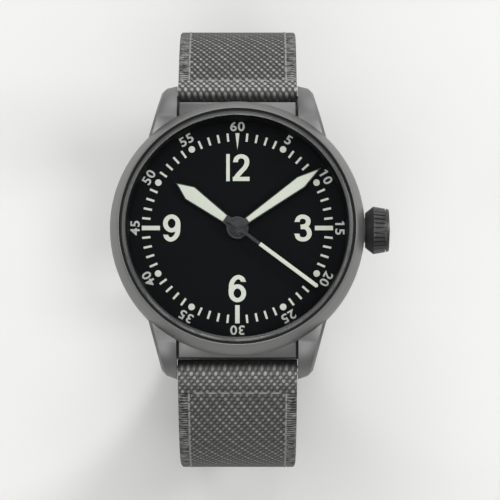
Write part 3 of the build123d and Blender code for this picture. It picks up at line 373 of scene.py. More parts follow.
def canvas(name, context, slant, cross_seam=None, fold_end=0.0, fineness=1.0):
    """Coarse twill: light dots in slanting rows on dark ground.

    slant is 1 or -1, for the way the rows lean, and a fineness over 1 makes the weave smaller. With a
    cross seam it is a strap: past that seam its edges are turned over and ribbed, near the bar the cloth
    is painted lighter as a painted highlight where its round catches light, and up to fold_end along the
    strap it dips into the painted shadow of its fold.
    """
    finishes = paint(context)
    cloth = context.scene.watch_cloth
    made, nodes = material(name)
    across, along = [distance * fineness for distance in nodes.place("UV")[:2]]
    wobble = nodes.noise(800.0, 2.0) - 0.5
    row_shift = 0.255 * slant
    rows = along / cloth.row_pitch + wobble * 0.35
    columns = across / cloth.repeat_across + wobble * 0.12
    row = rows.floor()
    squeeze_across = cloth.repeat_across / cloth.dot_across
    squeeze_along = cloth.row_pitch / cloth.dot_along
    dots = None
    for offset in (-1.0, 0.0, 1.0):
        this_row = row + offset
        up = (rows - this_row - 0.5) * squeeze_along
        column = columns + this_row * row_shift
        side = (column.fraction() - 0.5) * squeeze_across
        chance = nodes.value(
            "ShaderNodeTexWhiteNoise",
            {"noise_dimensions": "2D"},
            {"Vector": nodes.vector(column.floor(), this_row, 0.0)},
        )
        dot = (1 - side * side - up * up).clamped() * (chance * 0.45 + 0.65)
        dots = dot if dots is None else dots.maths("MAXIMUM", dot)
        if offset == 0:
            side = ((column + 0.5).fraction() - 0.5) * squeeze_across
            faint_dots = (1 - side * side * 1.2 - up * up * 1.4).clamped() * (chance * 0.4 + 0.35)
    dots = dots.maths("MAXIMUM", faint_dots)
    ridge = ((columns + rows * row_shift) * (4 * math.pi)).wave() * 0.5 + 0.5
    fibre = nodes.noise(5200.0, 3.0)
    light_share = (dots * 0.75 + ridge * 0.1 + fibre * 0.14 - 0.02).clamped()
    relief = dots * 0.8 + ridge * 0.15 + fibre * 0.15
    shadow = 0.0
    if cross_seam is not None:
        seam_from = strap_half_width - cloth.seam_inset
        margin = (abs(nodes.place()[0]) > seam_from) * (along > cross_seam)
        rib = (along * (2 * math.pi / cloth.rib_pitch) + wobble * 5.0).wave() * 0.5 + 0.5
        patches = nodes.noise(900.0, 3.0)
        ribbed = (rib * patches * 1.15 + (patches - 0.5) * 0.9 + fibre * 0.2 - 0.1).clamped()
        light_share = light_share * (1 - margin) + ribbed * margin
        relief = relief * (1 - margin) + (rib * 0.4 + patches * 0.3 + fibre * 0.2) * margin
        # Painted highlight: near the spring bar the cloth is made lighter where its round catches light,
        # fading out over the fold shadow's length
        painted_highlight_share = ((cloth.stretch_end - along) / cloth.fold_fade).clamped()
        light_share = (light_share * (1 + painted_highlight_share * 0.6) + painted_highlight_share * 0.03).clamped()
        shadow = ((fold_end - along) / cloth.fold_fade).clamped() * 0.82
    woven = nodes.blend(light_share, finishes.cloth_dark, finishes.cloth_light)
    nodes.surface(
        Base_Color=nodes.blend(shadow, woven, (0.004, 0.004, 0.004)),
        Roughness=0.82 + fibre * 0.1,
        Normal=nodes.bump(relief, 0.00022, 0.8),
        Specular_IOR_Level=0.3,
    )
    return made


# Making and placing pieces
def pick(*objects):
    """Leaves only these objects selected, with the last one active."""
    bpy.ops.object.select_all(action="DESELECT")
    for item in objects:
        item.select_set(True)
    bpy.context.view_layer.objects.active = objects[-1]


def add(maker, **settings):
    """A new object from one of Blender's own makers, with nothing else selected."""
    bpy.ops.object.select_all(action="DESELECT")
    maker(**settings)
    return bpy.context.object


def finish_piece(piece, name, body, finish):
    """Gives a piece its name, finish and carrier."""
    piece.name = name
    piece.data.name = name
    piece.data.materials.clear()
    piece.data.materials.append(finish)
    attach(piece, body)


def apply_modifier(piece, kind, **settings):
    """Adds a modifier, sets it and applies it."""
    pick(piece)
    modifier = piece.modifiers.new(kind.title(), kind)
    for name, setting in settings.items():
        setattr(modifier, name, setting)
    bpy.ops.object.modifier_apply(modifier=modifier.name)


def join(pieces):
    """One object from several, at the origin."""
    pick(*pieces)
    if len(pieces) > 1:
        bpy.ops.object.join()
    bpy.ops.object.transform_apply()
    return bpy.context.object


def copies(piece, turns):
    """One object with a copy of the piece at each of these moves."""
    made = []
    for turn in turns:
        twin = piece.copy()
        twin.data = piece.data.copy()
        bpy.context.scene.collection.objects.link(twin)
        twin.matrix_world = turn @ piece.matrix_world
        made.append(twin)
    bpy.data.objects.remove(piece)
    return join(made)


def slab(outline, low, high, soft_edge):
    """A thin plate from a flat outline, with softened edges."""
    plate = add(bpy.ops.mesh.primitive_circle_add, vertices=len(outline), fill_type="NGON")
    for vertex, (x, y) in zip(plate.data.vertices, outline):
        vertex.co = (x, y, low)
    bpy.ops.object.mode_set(mode="EDIT")
    bpy.ops.mesh.select_all(action="SELECT")
    bpy.ops.mesh.extrude_region_move(TRANSFORM_OT_translate={"value": (0, 0, high - low)})
    bpy.ops.mesh.select_all(action="SELECT")
    bpy.ops.mesh.normals_make_consistent(inside=False)
    bpy.ops.object.mode_set(mode="OBJECT")
    apply_modifier(plate, "BEVEL", width=soft_edge, segments=2, limit_method="ANGLE")
    return plate


def clock_turn(minutes):
    """The turn from 12 o'clock to a minute of the dial."""
    return Matrix.Rotation(-math.radians(minutes * 6), 4, "Z")


def solid_object(body, name):
    """An object of a finished bmesh, with its faces pointing outwards."""
    bmesh.ops.recalc_face_normals(body, faces=body.faces)
    mesh = bpy.data.meshes.new(name)
    body.to_mesh(mesh)
    body.free()
    piece = bpy.data.objects.new(name, mesh)
    bpy.context.scene.collection.objects.link(piece)
    return piece


# Large numbers, drawn as strokes of a broad pen. Places are shares of the number's height, with the
# middle of the foot at the origin. A stroke has its kind, its points and its share of the pen's width.
pen_across_share = 0.174
pen_upright_share = 0.153
narrow_share = 0.74
one = [("line", [(0, 0), (0, 1)], narrow_share)]
two_arc = [(-0.205, 0.7), (-0.15, 0.85), (0.012, 0.918), (0.175, 0.845), (0.217, 0.7)]
two_slope = [(0.165, 0.54), (0.0, 0.345), (-0.13, 0.2), (-0.215, 0.06)]
two = [("line", two_arc + two_slope, 1.0), ("bar", [(-0.3, 0.082), (0.314, 0.082)], 1.0)]
three_waist = (-0.084, 0.54)
three_arc = [(-0.223, 0.725), (-0.155, 0.87), (-0.01, 0.918), (0.14, 0.86), (0.188, 0.735), (0.12, 0.6)]
three_bowl = [(0.13, 0.5), (0.23, 0.3), (0.15, 0.135), (-0.01, 0.0815), (-0.17, 0.14), (-0.228, 0.293)]
three = [("line", [*three_arc, three_waist], 1.0), ("line", [three_waist, *three_bowl], 1.0)]
nine_ring = [(-0.004, 0.923), (0.228, 0.672), (-0.004, 0.416), (-0.232, 0.672)]
nine_tail = [(0.228, 0.7), (0.232, 0.56), (0.185, 0.25), (0.0, 0.0815), (-0.16, 0.13), (-0.222, 0.254)]
nine = [("ring", nine_ring, 1.0), ("line", nine_tail, 1.0)]
six = [(kind, [(-x, 1 - y) for x, y in points], share) for kind, points, share in nine]
number_strokes = {"1": one, "2": two, "3": three, "6": six, "9": nine}
# How far a smooth line holds its direction at a point, and the steps between two points
curve_reach = 0.37
curve_steps = 9


def headings(line, closed):
    """The direction of a line at each of its points."""
    last = len(line) - 1
    ahead = []
    for index, point in enumerate(line):
        after = line[(index + 1) % len(line)] if closed or index < last else point
        before = line[index - 1] if closed or index else point
        ahead.append((after - before).normalized())
    return ahead


def smooth_line(points, closed):
    """Points close together on a smooth line through the given ones."""
    ahead = headings(points, closed)
    count = len(points)
    line = []
    for index in range(count if closed else count - 1):
        after = (index + 1) % count
        start, end = points[index], points[after]
        reach = (end - start).length * curve_reach
        leave = start + ahead[index] * reach
        arrive = end - ahead[after] * reach
        line += interpolate_bezier(start, leave, arrive, end, curve_steps)[:-1]
    return line if closed else [*line, points[-1]]


def pen_edges(line, closed, half_across, half_upright, level_ends):
    """Both edges of a pen stroke at each point of a line. Level ends are cut off horizontally."""
    edges = []
    for index, (point, ahead) in enumerate(zip(line, headings(line, closed))):
        aside = Vector((-ahead.y, ahead.x))
        half = math.hypot(half_across * aside.x, half_upright * aside.y)
        pair = [point + aside * half, point - aside * half]
        steep = abs(ahead.y) > 0.9
        if level_ends and index in (0, len(line) - 1) and steep:
            pair = [edge + ahead * (point.y - edge.y) / ahead.y for edge in pair]
        edges.append(pair)
    return edges


def stroke_plate(stroke, height, low, thickness):
    """One pen stroke as a thin plate, for a number of this height."""
    kind, points, share = stroke
    closed = kind == "ring"
    corners = [Vector(point) * height for point in points]
    line = corners if kind == "bar" or len(corners) == 2 else smooth_line(corners, closed)
    half_across = pen_across_share * share * height / 2
    half_upright = pen_upright_share * share * height / 2
    high = low + thickness
    body = bmesh.new()
    rows = []
    for left, right in pen_edges(line, closed, half_across, half_upright, kind == "line"):
        corners = ((left, low), (right, low), (right, high), (left, high))
        rows.append([body.verts.new((*spot, z)) for spot, z in corners])
    following = rows[1:] + rows[:1] if closed else rows[1:]
    for here, there in zip(rows, following):
        for side in range(4):
            after = (side + 1) % 4
            body.faces.new((here[side], here[after], there[after], there[side]))
    if not closed:
        body.faces.new(rows[0])
        body.faces.new(rows[-1])
    return solid_object(body, "stroke")


def large_number(text, height, low, thickness):
    """One digit with its strokes joined into one plate."""
    strokes = [stroke_plate(stroke, height, low, thickness) for stroke in number_strokes[text]]
    digit = strokes[0]
    for stroke in strokes[1:]:
        apply_modifier(digit, "BOOLEAN", operation="UNION", object=stroke, solver="EXACT")
        bpy.data.objects.remove(stroke)
    return digit


# How high a digit of the typeface stands in shares of its size, how much wider the outer numbers are
# than the typeface, and the corners of the flag that their 1 gets, in shares of its height from its
# upper left corner
digit_share = 0.64
number_widening = 1.12
flag_of_one = [(0.02, 0.0), (-0.22, -0.18), (-0.22, -0.34), (0.02, -0.2)]


def small_number(text, sizes, low):
    """An outer number in a plain typeface, centred on the origin, as a thin plate."""
    height = sizes.minute_height
    thickness = sizes.thickness * 0.6
    number = add(bpy.ops.object.text_add)
    number.data.body = text
    number.data.size = height / digit_share
    number.data.extrude = thickness / 2
    number.data.offset = sizes.minute_bolder
    number.data.resolution_u = 4
    number.data.space_character = 1.1
    pick(number)
    bpy.ops.object.convert(target="MESH")
    number.data.transform(Matrix.Diagonal((number_widening, 1, 1, 1)))
    if text.startswith("1"):
        left = min(vertex.co.x for vertex in number.data.vertices)
        top = max(vertex.co.y for vertex in number.data.vertices)
        corners = [(left + x * height, top + y * height) for x, y in flag_of_one]
        flag = slab(corners, -thickness / 2, thickness / 2, thickness * 0.3)
        number = join([flag, number])
    across, upright = [sorted(vertex.co[axis] for vertex in number.data.vertices) for axis in (0, 1)]
    middle_x = (across[0] + across[-1]) / 2
    middle_y = (upright[0] + upright[-1]) / 2
    number.data.transform(Matrix.Translation((-middle_x, -middle_y, low + thickness / 2)))
    return number


def dress(names, finish, edge=None):
    """Gives CAD nodes a finish, with smooth rounds and softly broken edges."""
    sharp = math.radians(28.0)
    for name in names:
        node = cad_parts[name]
        node.data.materials.clear()
        node.data.materials.append(finish)
        node.data.polygons.foreach_set("use_smooth", [True] * len(node.data.polygons))
        weld = node.modifiers.new("Joined", "WELD")
        weld.merge_threshold = 0.001 * MM
        if edge:
            bevel = node.modifiers.new("Broken edges", "BEVEL")
            bevel.width = edge
            bevel.segments = 2
            bevel.limit_method = "ANGLE"
            bevel.angle_limit = sharp
            bevel.harden_normals = False
        split = node.modifiers.new("Sharp edges", "EDGE_SPLIT")
        split.split_angle = sharp


# The strap's line, seen from the side, from the spring bar outwards
bar_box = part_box("spring_bars")
short_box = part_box("strap_short")
long_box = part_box("strap_long")
buckle_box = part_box("buckle_bar")
strap_half_width = short_box[1].x
half_thickness = 1.0 * MM
eye_radius = 1.75 * MM
bar_radius = (bar_box[1].z - bar_box[0].z) / 2
bar_z = (bar_box[0].z + bar_box[1].z) / 2
bar_y = bar_box[1].y - bar_radius
buckle_y = (buckle_box[0].y + buckle_box[1].y) / 2
buckle_z = (buckle_box[0].z + buckle_box[1].z) / 2
widest_y = short_box[1].y - half_thickness
short_end_radius = 21.0 * MM
widest_z = buckle_z + short_end_radius
upper_run = widest_y - bar_y
upper_drop = bar_z - widest_z
upper_radius = (upper_run**2 + upper_drop**2) / (2 * upper_run)
upper_turn = math.asin(upper_drop / upper_radius)
long_end_radius = 28.0 * MM
tail_z = long_box[0].z + half_thickness
tail_y = long_box[1].y
long_straight = widest_z - long_end_radius - tail_z
tail_taper = 9.0 * MM
tail_half_width = 5.0 * MM


class StrapLine:
    """A line of bends and straights from the spring bar. Each has its length and its radius or None."""

    def __init__(self, *stretches):
        self.stretches = (upper_bend, *stretches)
        self.total = sum(stretch for stretch, radius in self.stretches)

    def at(self, distance):
        """The place and the outward direction at a distance along the line."""
        place = Vector((bar_y, bar_z))
        heading = upper_turn - math.pi / 2
        left = distance
        for stretch, radius in self.stretches:
            last = (stretch, radius) == self.stretches[-1]
            step = left if last or left < stretch else stretch
            if radius and step > 0:
                centre = place + radius * Vector((math.sin(heading), -math.cos(heading)))
                heading -= step / radius
                place = centre - radius * Vector((math.sin(heading), -math.cos(heading)))
            else:
                place = place + step * Vector((math.cos(heading), math.sin(heading)))
            left -= step
            if left <= 0:
                break
        return place, Vector((-math.sin(heading), math.cos(heading)))


upper_bend = (upper_radius * upper_turn, upper_radius)
short_bend = (short_end_radius * math.pi / 2, short_end_radius)
long_bend = (long_end_radius * math.pi / 2, long_end_radius)
short_line = StrapLine(short_bend, (widest_y - short_end_radius - buckle_y, None))
long_line = StrapLine((long_straight, None), long_bend, (widest_y - long_end_radius + tail_y, None))
# The share of the eye's swelling that the strap keeps beside it, and where that starts and fades out
swell_share = 0.55
swell_start = 0.9 * MM
swell_fade = 2.4 * MM


def eye_thickness(distance):
    """Half the strap's thickness near a bar: it swells to a round eye."""
    round_part = math.sqrt(max(0.0, eye_radius**2 - min(abs(distance), eye_radius) ** 2))
    fade = min(1.0, max(0.0, (distance - swell_start) / swell_fade))
    fade = fade * fade * (3 - 2 * fade)
    swell = half_thickness + (eye_radius - half_thickness) * (1 - fade) * swell_share
    return max(round_part, swell) if distance > 0 else round_part


def section(half_width, half_height, rounding, inset, groove):
    """Round a band from the middle of its inner face and back: (x, height, distance) of each point."""
    rounding = min(rounding, half_height * 0.98)
    flat = half_width - rounding
    seam = half_width - inset
    right = [(seam * share, half_height) for share in (0, 0.35, 0.7, 0.96)]
    right.append((seam, half_height - groove))
    right.append((seam + (flat - seam) * 0.4, half_height))
    for step in range(7):
        turn = step / 6 * math.pi / 2
        right.append((flat + rounding * math.sin(turn), half_height - rounding * (1 - math.cos(turn))))
    right += [(x, -y) for x, y in reversed(right)]
    outline = [(-x, y) for x, y in reversed(right)] + right[1:]
    walked = [0.0]
    for first, second in zip(outline, outline[1:]):
        walked.append(walked[-1] + math.dist(first, second))
    return [(x, y, distance - walked[-1] / 2) for (x, y), distance in zip(outline, walked)]


def band(line, stations, half_width, half_height, cloth, flip):
    """Cloth lofted along a line. flip is -1 for the 6 o'clock side. UVs are metres across and along."""
    groove = 0.06 * MM
    body = bmesh.new()
    rings = []
    for distance in stations:
        place, outward = line.at(distance)
        rounding = cloth.edge_round * min(1.0, max(0.25, distance / (3 * MM)))
        points = section(half_width(distance), half_height(distance), rounding, cloth.seam_inset, groove)
        corners = []
        for x, y, walked in points[:-1]:
            spot = place + outward * y
            corners.append((body.verts.new((x, flip * spot.x, spot.y)), walked, distance))
        corners.append((corners[0][0], points[-1][2], distance))
        rings.append(corners)
    return woven_object(body, rings, (rings[0], rings[-1]), "band")


def woven_object(body, rings, ends, name):
    """An object of smooth faces between rings of corners: (vertex, distance across, distance along)."""
    uv_layer = body.loops.layers.uv.new("UVMap")
    outlines = []
    for first, second in zip(rings, rings[1:]):
        for index in range(len(first) - 1):
            outlines.append((first[index], first[index + 1], second[index + 1], second[index]))
    outlines += [ring[:-1] for ring in ends]
    for corners in outlines:
        face = body.faces.new([corner[0] for corner in corners])
        face.smooth = True
        for loop, corner in zip(face.loops, corners):
            loop[uv_layer].uv = corner[1:]
    return solid_object(body, name)


def cut(piece, cutters):
    """Takes the cutters' shapes out of a piece."""
    for cutter in cutters:
        apply_modifier(piece, "BOOLEAN", operation="DIFFERENCE", object=cutter, solver="EXACT")
        bpy.data.objects.remove(cutter)


def bar_hole(y, z, flip):
    """A cutter for the hole round a bar."""
    return add(
        bpy.ops.mesh.primitive_cylinder_add,
        vertices=32,
        radius=bar_radius + 0.05 * MM,
        depth=3 * strap_half_width,
        location=(0, flip * y, z),
        rotation=(0, math.pi / 2, 0),
    )


def strap_stations(end, round_end):
    """Distances at which the strap gets a ring, closer together round its eyes."""
    step = 0.5 * MM
    number = max(2, round(end / step))
    eye_rings = 14
    blunt = 0.12
    turns = [index / eye_rings * (math.pi / 2 - blunt) for index in range(eye_rings + 1)]
    places = [-eye_radius * math.cos(blunt + turn) for turn in turns[:-1]]
    places += [end * index / number for index in range(number + 1)]
    if round_end:
        places += [end + eye_radius * math.sin(turn) for turn in turns[1:]]
    return places


def stitch(cloth):
    """One sewn stitch: a short thread that dips into the cloth at both ends."""
    thread = add(
        bpy.ops.mesh.primitive_cylinder_add,
        vertices=6,
        radius=cloth.thread_radius,
        depth=cloth.stitch_length,
        rotation=(math.pi / 2, 0, 0),
    )
    bpy.ops.object.transform_apply()
    bpy.ops.object.mode_set(mode="EDIT")
    for cut_at in (-0.42, -0.2, 0.2, 0.42):
        bpy.ops.mesh.select_all(action="SELECT")
        bpy.ops.mesh.bisect(plane_co=(0, cut_at * cloth.stitch_length, 0), plane_no=(0, 1, 0))
    bpy.ops.object.mode_set(mode="OBJECT")
    for vertex in thread.data.vertices:
        share = abs(vertex.co.y) / (cloth.stitch_length / 2)
        vertex.co.z -= cloth.thread_radius * 0.9 * share**3
        vertex.co.x *= 1 - 0.45 * share**4
    for face in thread.data.polygons:
        face.use_smooth = True
    return thread


def stitch_move(line, distance, x, side, flip, cloth, turned=False):
    """Where a stitch goes. side is 1 on the outer face and -1 on the inner face."""
    place, outward = line.at(distance)
    lift = eye_thickness(distance) if distance < 4 * MM else half_thickness
    spot = place + outward * side * (lift - cloth.thread_radius * 0.25)
    up = Vector((0, outward.x * side * flip, outward.y * side))
    ahead = Vector((0, outward.y * flip, -outward.x))
    across = ahead.cross(up)
    if turned:
        ahead, across = across, -ahead
    turn = Matrix((across, ahead, up)).transposed().to_4x4()
    return Matrix.Translation((x, flip * spot.x, spot.y)) @ turn


def seams(line, cross_seam, end, flip, cloth):
    """The side seams on both faces, from the cross seam to the end, and the cross seam, as one object."""
    pitch = cloth.stitch_length + cloth.stitch_gap
    reach = strap_half_width - cloth.seam_inset
    moves = []
    for x in (-reach, reach):
        for side in (-1, 1):
            for index in range(int((end - cross_seam) / pitch)):
                distance = cross_seam + (index + 0.5) * pitch
                moves.append(stitch_move(line, distance, x, side, flip, cloth))
    count = int(2 * reach / pitch)
    for index in range(count):
        x = (index + 0.5 - count / 2) * pitch
        moves.append(stitch_move(line, cross_seam, x, 1, flip, cloth, turned=True))
    return copies(stitch(cloth), moves)


def paint(context):
    """The colours that a user can change."""
    return context.scene.watch_finishes


# One operator for each piece or group of like pieces
class WATCH_OT_camera_and_light(bpy.types.Operator):
    """Sets up the camera, the lamps and the plain pale floor"""

    bl_idname = "watch.camera_and_light"
    bl_label = "Camera, light and floor"

    def execute(self, context):
        studio = context.scene.watch_studio
        dial_top = Vector((0, 0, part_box("dial")[1].z))
        up = Vector((0, math.cos(studio.tilt), math.sin(studio.tilt)))
        back = Vector((0, -math.sin(studio.tilt), math.cos(studio.tilt)))
        eye = dial_top + back * studio.distance - up * studio.lower
        eye.x += studio.aside
        camera = add(bpy.ops.object.camera_add, location=eye, rotation=(studio.tilt, 0, 0))
        camera.name = "Camera"
        camera.data.lens = studio.lens
        camera.data.sensor_width = 36
        camera.data.clip_start = 0.01
        camera.data.clip_end = 20
        context.scene.camera = camera
        lamps = (
            ("Main_lamp", (-0.03, 0.33, 0.66), 0.42, studio.key_power),
            ("Second_lamp", (0.05, -0.20, 0.66), 0.3, studio.fill_power),
            ("Side_lamp_right", (0.46, 0.14, 0.30), 0.18, studio.side_power * 2),
            ("Side_lamp_left", (-0.50, 0.12, 0.24), 0.3, studio.side_power * 1.2),
            ("Side_lamp_top", (0.12, 0.62, 0.14), 0.35, studio.side_power),
            ("Side_lamp_bottom", (-0.10, -0.48, 0.38), 0.3, studio.side_power),
        )
        for name, where, size, watts in lamps:
            aim = (-Vector(where)).to_track_quat("-Z", "Y").to_euler()
            lamp = add(bpy.ops.object.light_add, type="AREA", location=where, rotation=aim)
            lamp.name = name
            lamp.data.shape = "SQUARE"
            lamp.data.size = size
            lamp.data.energy = watts
        world = bpy.data.worlds.new("Room")
        context.scene.world = world
        world.use_nodes = True
        nodes = Nodes(world.node_tree)
        light = {"Color": (1, 1, 1, 1), "Strength": studio.sky}
        sky = nodes.value("ShaderNodeBackground", inputs=light)
        nodes.node("ShaderNodeOutputWorld", inputs={"Surface": sky})
        context.scene.view_settings.view_transform = "Standard"
        floor_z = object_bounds()[0][2] - 0.25 * MM
        floor = add(bpy.ops.mesh.primitive_plane_add, size=3.0, location=(0, 0, floor_z))
        floor.name = "Floor"
        bpy.ops.object.transform_apply()
        made, nodes = material("pale_floor")
        grain = nodes.noise(60.0, 3.0)
        dark, light = shades(paint(context).floor, 0.985, 1.01)
        nodes.surface(Base_Color=nodes.blend(grain, dark, light), Roughness=0.8)
        floor.data.materials.append(made)
        floor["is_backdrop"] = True
        return {"FINISHED"}


def darken_slits(case, finish):
    """Paints shade into the narrow slits beside the blocks: their floor and block wall get darker steel.
    """
    slit_in = strap_half_width - 0.35 * MM
    slit_out = strap_half_width + 0.12 * MM
    slit_start = 15 * MM
    highest_floor = 3 * MM
    square_on = 0.9
    # The faces found below get the darkened steel: painted shade where little light reaches into the slit
    case.data.materials.append(finish)
    for face in case.data.polygons:
        centre = face.center
        in_slit = slit_in < abs(centre.x) < slit_out and abs(centre.y) > slit_start
        is_wall = abs(face.normal.x) > square_on
        is_floor = face.normal.z > square_on and centre.z < highest_floor
        if in_slit and (is_wall or is_floor):
            face.material_index = 1


class WATCH_OT_case(bpy.types.Operator):
    """Gives the case, bezel, case back and crown their dark coated steel"""

    bl_idname = "watch.case"
    bl_label = "Case and crown"

    def execute(self, context):
        finishes = paint(context)
        steel = coated_steel("coated_steel", finishes.steel)
        turned_steel = coated_steel("turned_coated_steel", finishes.steel, round_grain=True)
        # Painted shade: the crown gets the coated steel darkened for the dark surroundings it reflects,
        # and its tube and stem for the shaded gap by the case
        crown_steel_painted_shade = coated_steel("crown_steel_painted_shade", finishes.steel, shade=0.36)
        dress(["case_middle"], steel, 0.05 * MM)
        # Painted shade on the floor and block walls of the slits beside the blocks
        darken_slits(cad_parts["case_middle"], coated_steel("slit_steel_painted_shade", finishes.steel, shade=0.12))
        dress(["crown"], crown_steel_painted_shade, 0.03 * MM)
        dress(["crown_tube", "winding_stem"], crown_steel_painted_shade)
        dress(["bezel"], turned_steel, 0.1 * MM)
        dress(["case_back"], turned_steel, 0.05 * MM)
        dress(["spring_bars"], bare_metal("bare_steel", finishes.bare_steel))
        rubber = lacquer("black_rubber", finishes.rubber, 0.7)
        dress(["crystal_gasket", "case_back_gasket", "crown_gasket"], rubber)
        dress(["movement_holder"], lacquer("holder_plastic", finishes.plastic, 0.5))
        return {"FINISHED"}


class WATCH_OT_crystal(bpy.types.Operator):
    """Makes the crystal clear glass"""

    bl_idname = "watch.crystal"
    bl_label = "Crystal"

    def execute(self, context):
        dress(["crystal"], glass("clear_glass", False))
        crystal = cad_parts["crystal"]
        crystal.data.materials.append(glass("bevelled_glass", True))
        upright, level = 0.3, 0.98
        for face in crystal.data.polygons:
            if upright < face.normal.z < level:
                face.material_index = 1
        return {"FINISHED"}


class WATCH_OT_dial(bpy.types.Operator):
    """Lacquers the dial and prints its ticks, bars, dots and triangle"""

    bl_idname = "watch.dial"
    bl_label = "Dial and minute track"

    def execute(self, context):
        finishes = paint(context)
        sizes = context.scene.watch_dial
        dress(["dial"], lacquer("black_lacquer", finishes.dial, 0.75, 9000.0, 0.15, 0.08))
        dress(["flange_ring"], lacquer("black_ring", finishes.ring, 0.6, 9000.0, 0.15, 0.1))
        lume = lacquer("luminous_paint", finishes.lume, 0.7, 3000.0)
        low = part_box("dial")[1].z

        def bar(inner, outer, width):
            half = width / 2
            return [(-half, inner), (half, inner), (half, outer), (-half, outer)]

        dot = []
        dot_corners = 28
        for index in range(dot_corners):
            turn = 2 * math.pi * index / dot_corners
            up = sizes.dot_place + sizes.dot_radius * math.sin(turn)
            dot.append((sizes.dot_radius * math.cos(turn), up))
        tick = bar(sizes.tick_inner, sizes.tick_outer, sizes.tick_width)
        long_bar = bar(sizes.bar_inner, sizes.bar_outer, sizes.bar_width)
        half = sizes.triangle_width / 2
        triangle = [(-half, sizes.bar_outer), (0, sizes.triangle_inner), (half, sizes.bar_outer)]
        for name, outline, minutes in (
            ("dial_ticks", tick, [minute for minute in range(60) if minute % 5]),
            ("dial_bars", long_bar, (15, 30, 45)),
            ("dial_dots", dot, [minute for minute in range(5, 60, 5) if minute % 15]),
            ("dial_triangle", triangle, (0,)),
        ):
            plate = slab(outline, low, low + sizes.thickness, sizes.thickness * 0.4)
            printed = copies(plate, [clock_turn(minute) for minute in minutes])
            finish_piece(printed, name, "case", lume)
        return {"FINISHED"}


class WATCH_OT_numbers(bpy.types.Operator):
    """Draws the large hour numerals and the outer minute numbers"""

    bl_idname = "watch.numbers"
    bl_label = "Numbers on the dial"

    def execute(self, context):
        finishes = paint(context)
        sizes = context.scene.watch_dial
        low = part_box("dial")[1].z
        lume = lacquer("luminous_numerals", finishes.lume, 0.7, 3000.0)
        ink = lacquer("printed_numbers", finishes.print_ink, 0.6, 3000.0)
        height = sizes.numeral_height
        up, out = sizes.numeral_middle, sizes.numeral_aside
        one_aside, two_aside = -0.345 * height, 0.13 * height
        places = (("1", one_aside, up), ("2", two_aside, up), ("3", out, 0), ("6", 0, -up), ("9", -out, 0))
        large = []
        for text, x, y in places:
            number = large_number(text, height, low, sizes.thickness)
            number.data.transform(Matrix.Translation((x, y - height / 2, 0)))
            large.append(number)
        finish_piece(join(large), "hour_numerals", "case", lume)
        small = []
        outwards = Matrix.Translation((0, sizes.minute_place, 0))
        for minute in range(5, 65, 5):
            number = small_number(str(minute), sizes, low)
            number.data.transform(clock_turn(minute) @ outwards)
            small.append(number)
        finish_piece(join(small), "minute_numbers", "case", ink)
        return {"FINISHED"}


class WATCH_OT_hands(bpy.types.Operator):
    """Gives the hands their dark frames and luminous fillings"""

    bl_idname = "watch.hands"
    bl_label = "Hands"

    def execute(self, context):
        finishes = paint(context)
        hands = ["hour_hand", "minute_hand", "seconds_hand"]
        dress(hands, bare_metal("dark_hands", finishes.hand, 0.4), 0.02 * MM)
        fillings = [f"{hand}_lume" for hand in hands]
        dress(fillings, lacquer("hand_lume", finishes.lume, 0.65, 3000.0), 0.02 * MM)
        return {"FINISHED"}


class WATCH_OT_movement(bpy.types.Operator):
    """Finishes the hidden movement: nickel plates, gilt wheels, steel and ruby"""

    bl_idname = "watch.movement"
    bl_label = "Movement"

    def execute(self, context):
        finishes = paint(context)
        nickel = bare_metal("nickel", finishes.nickel, 0.3, True)
        gilt = bare_metal("gilt_brass", finishes.gilt, 0.28)
        steel = bare_metal("polished_steel", finishes.bare_steel, 0.2)
        dress(["mainplate", "barrel_bridge", "train_bridge", "balance_cock"], nickel)
        dress(["rotor", "rotor_bearing"], nickel)
        dress(["barrel", "centre_wheel", "third_wheel", "fourth_wheel", "balance_wheel"], gilt)
        dress(["minute_wheel", "hour_wheel"], gilt)
        dress(["barrel_arbor", "escape_wheel", "pallet_fork", "hairspring"], steel)
        dress(["cannon_pinion", "bridge_screws"], steel)
        dress(["jewels"], lacquer("ruby", finishes.ruby, 0.15))
        return {"FINISHED"}


class WATCH_OT_short_strap(bpy.types.Operator):
    """Makes the 12 o'clock strap piece of canvas, with its seams"""

    bl_idname = "watch.short_strap"
    bl_label = "Strap at 12 o'clock"

    def execute(self, context):
        cloth = context.scene.watch_cloth
        cross_seam = cloth.cross_seam_short
        end = short_line.total
        fold_end = -0.55 * MM
        keeper_room = 4 * MM
        slot_play = 0.25 * MM
        slot_depth = 8 * MM
        slot_middle = buckle_y - 2.15 * MM

        def width(distance):
            return strap_half_width

        def height(distance):
            return eye_thickness(distance if distance < end / 2 else end - distance)

        strap = band(short_line, strap_stations(end, True), width, height, cloth, 1)
        slot_width = 2 * (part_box("buckle_tang")[1].x + slot_play)
        slot = add(
            bpy.ops.mesh.primitive_cube_add,
            size=1,
            location=(0, slot_middle, buckle_z),
            scale=(slot_width, slot_depth, slot_depth),
        )
        cut(strap, [bar_hole(bar_y, bar_z, 1), bar_hole(buckle_y, buckle_z, 1), slot])
        finish = canvas("canvas_short", context, 1, cross_seam, fold_end)
        finish_piece(strap, "canvas_strap_short", "strap_short", finish)
        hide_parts("strap_short")
        sewn = seams(short_line, cross_seam, end - keeper_room, 1, cloth)
        thread = lacquer("thread_short", paint(context).thread, 0.75)
        finish_piece(sewn, "seams_short", "strap_short", thread)
        return {"FINISHED"}


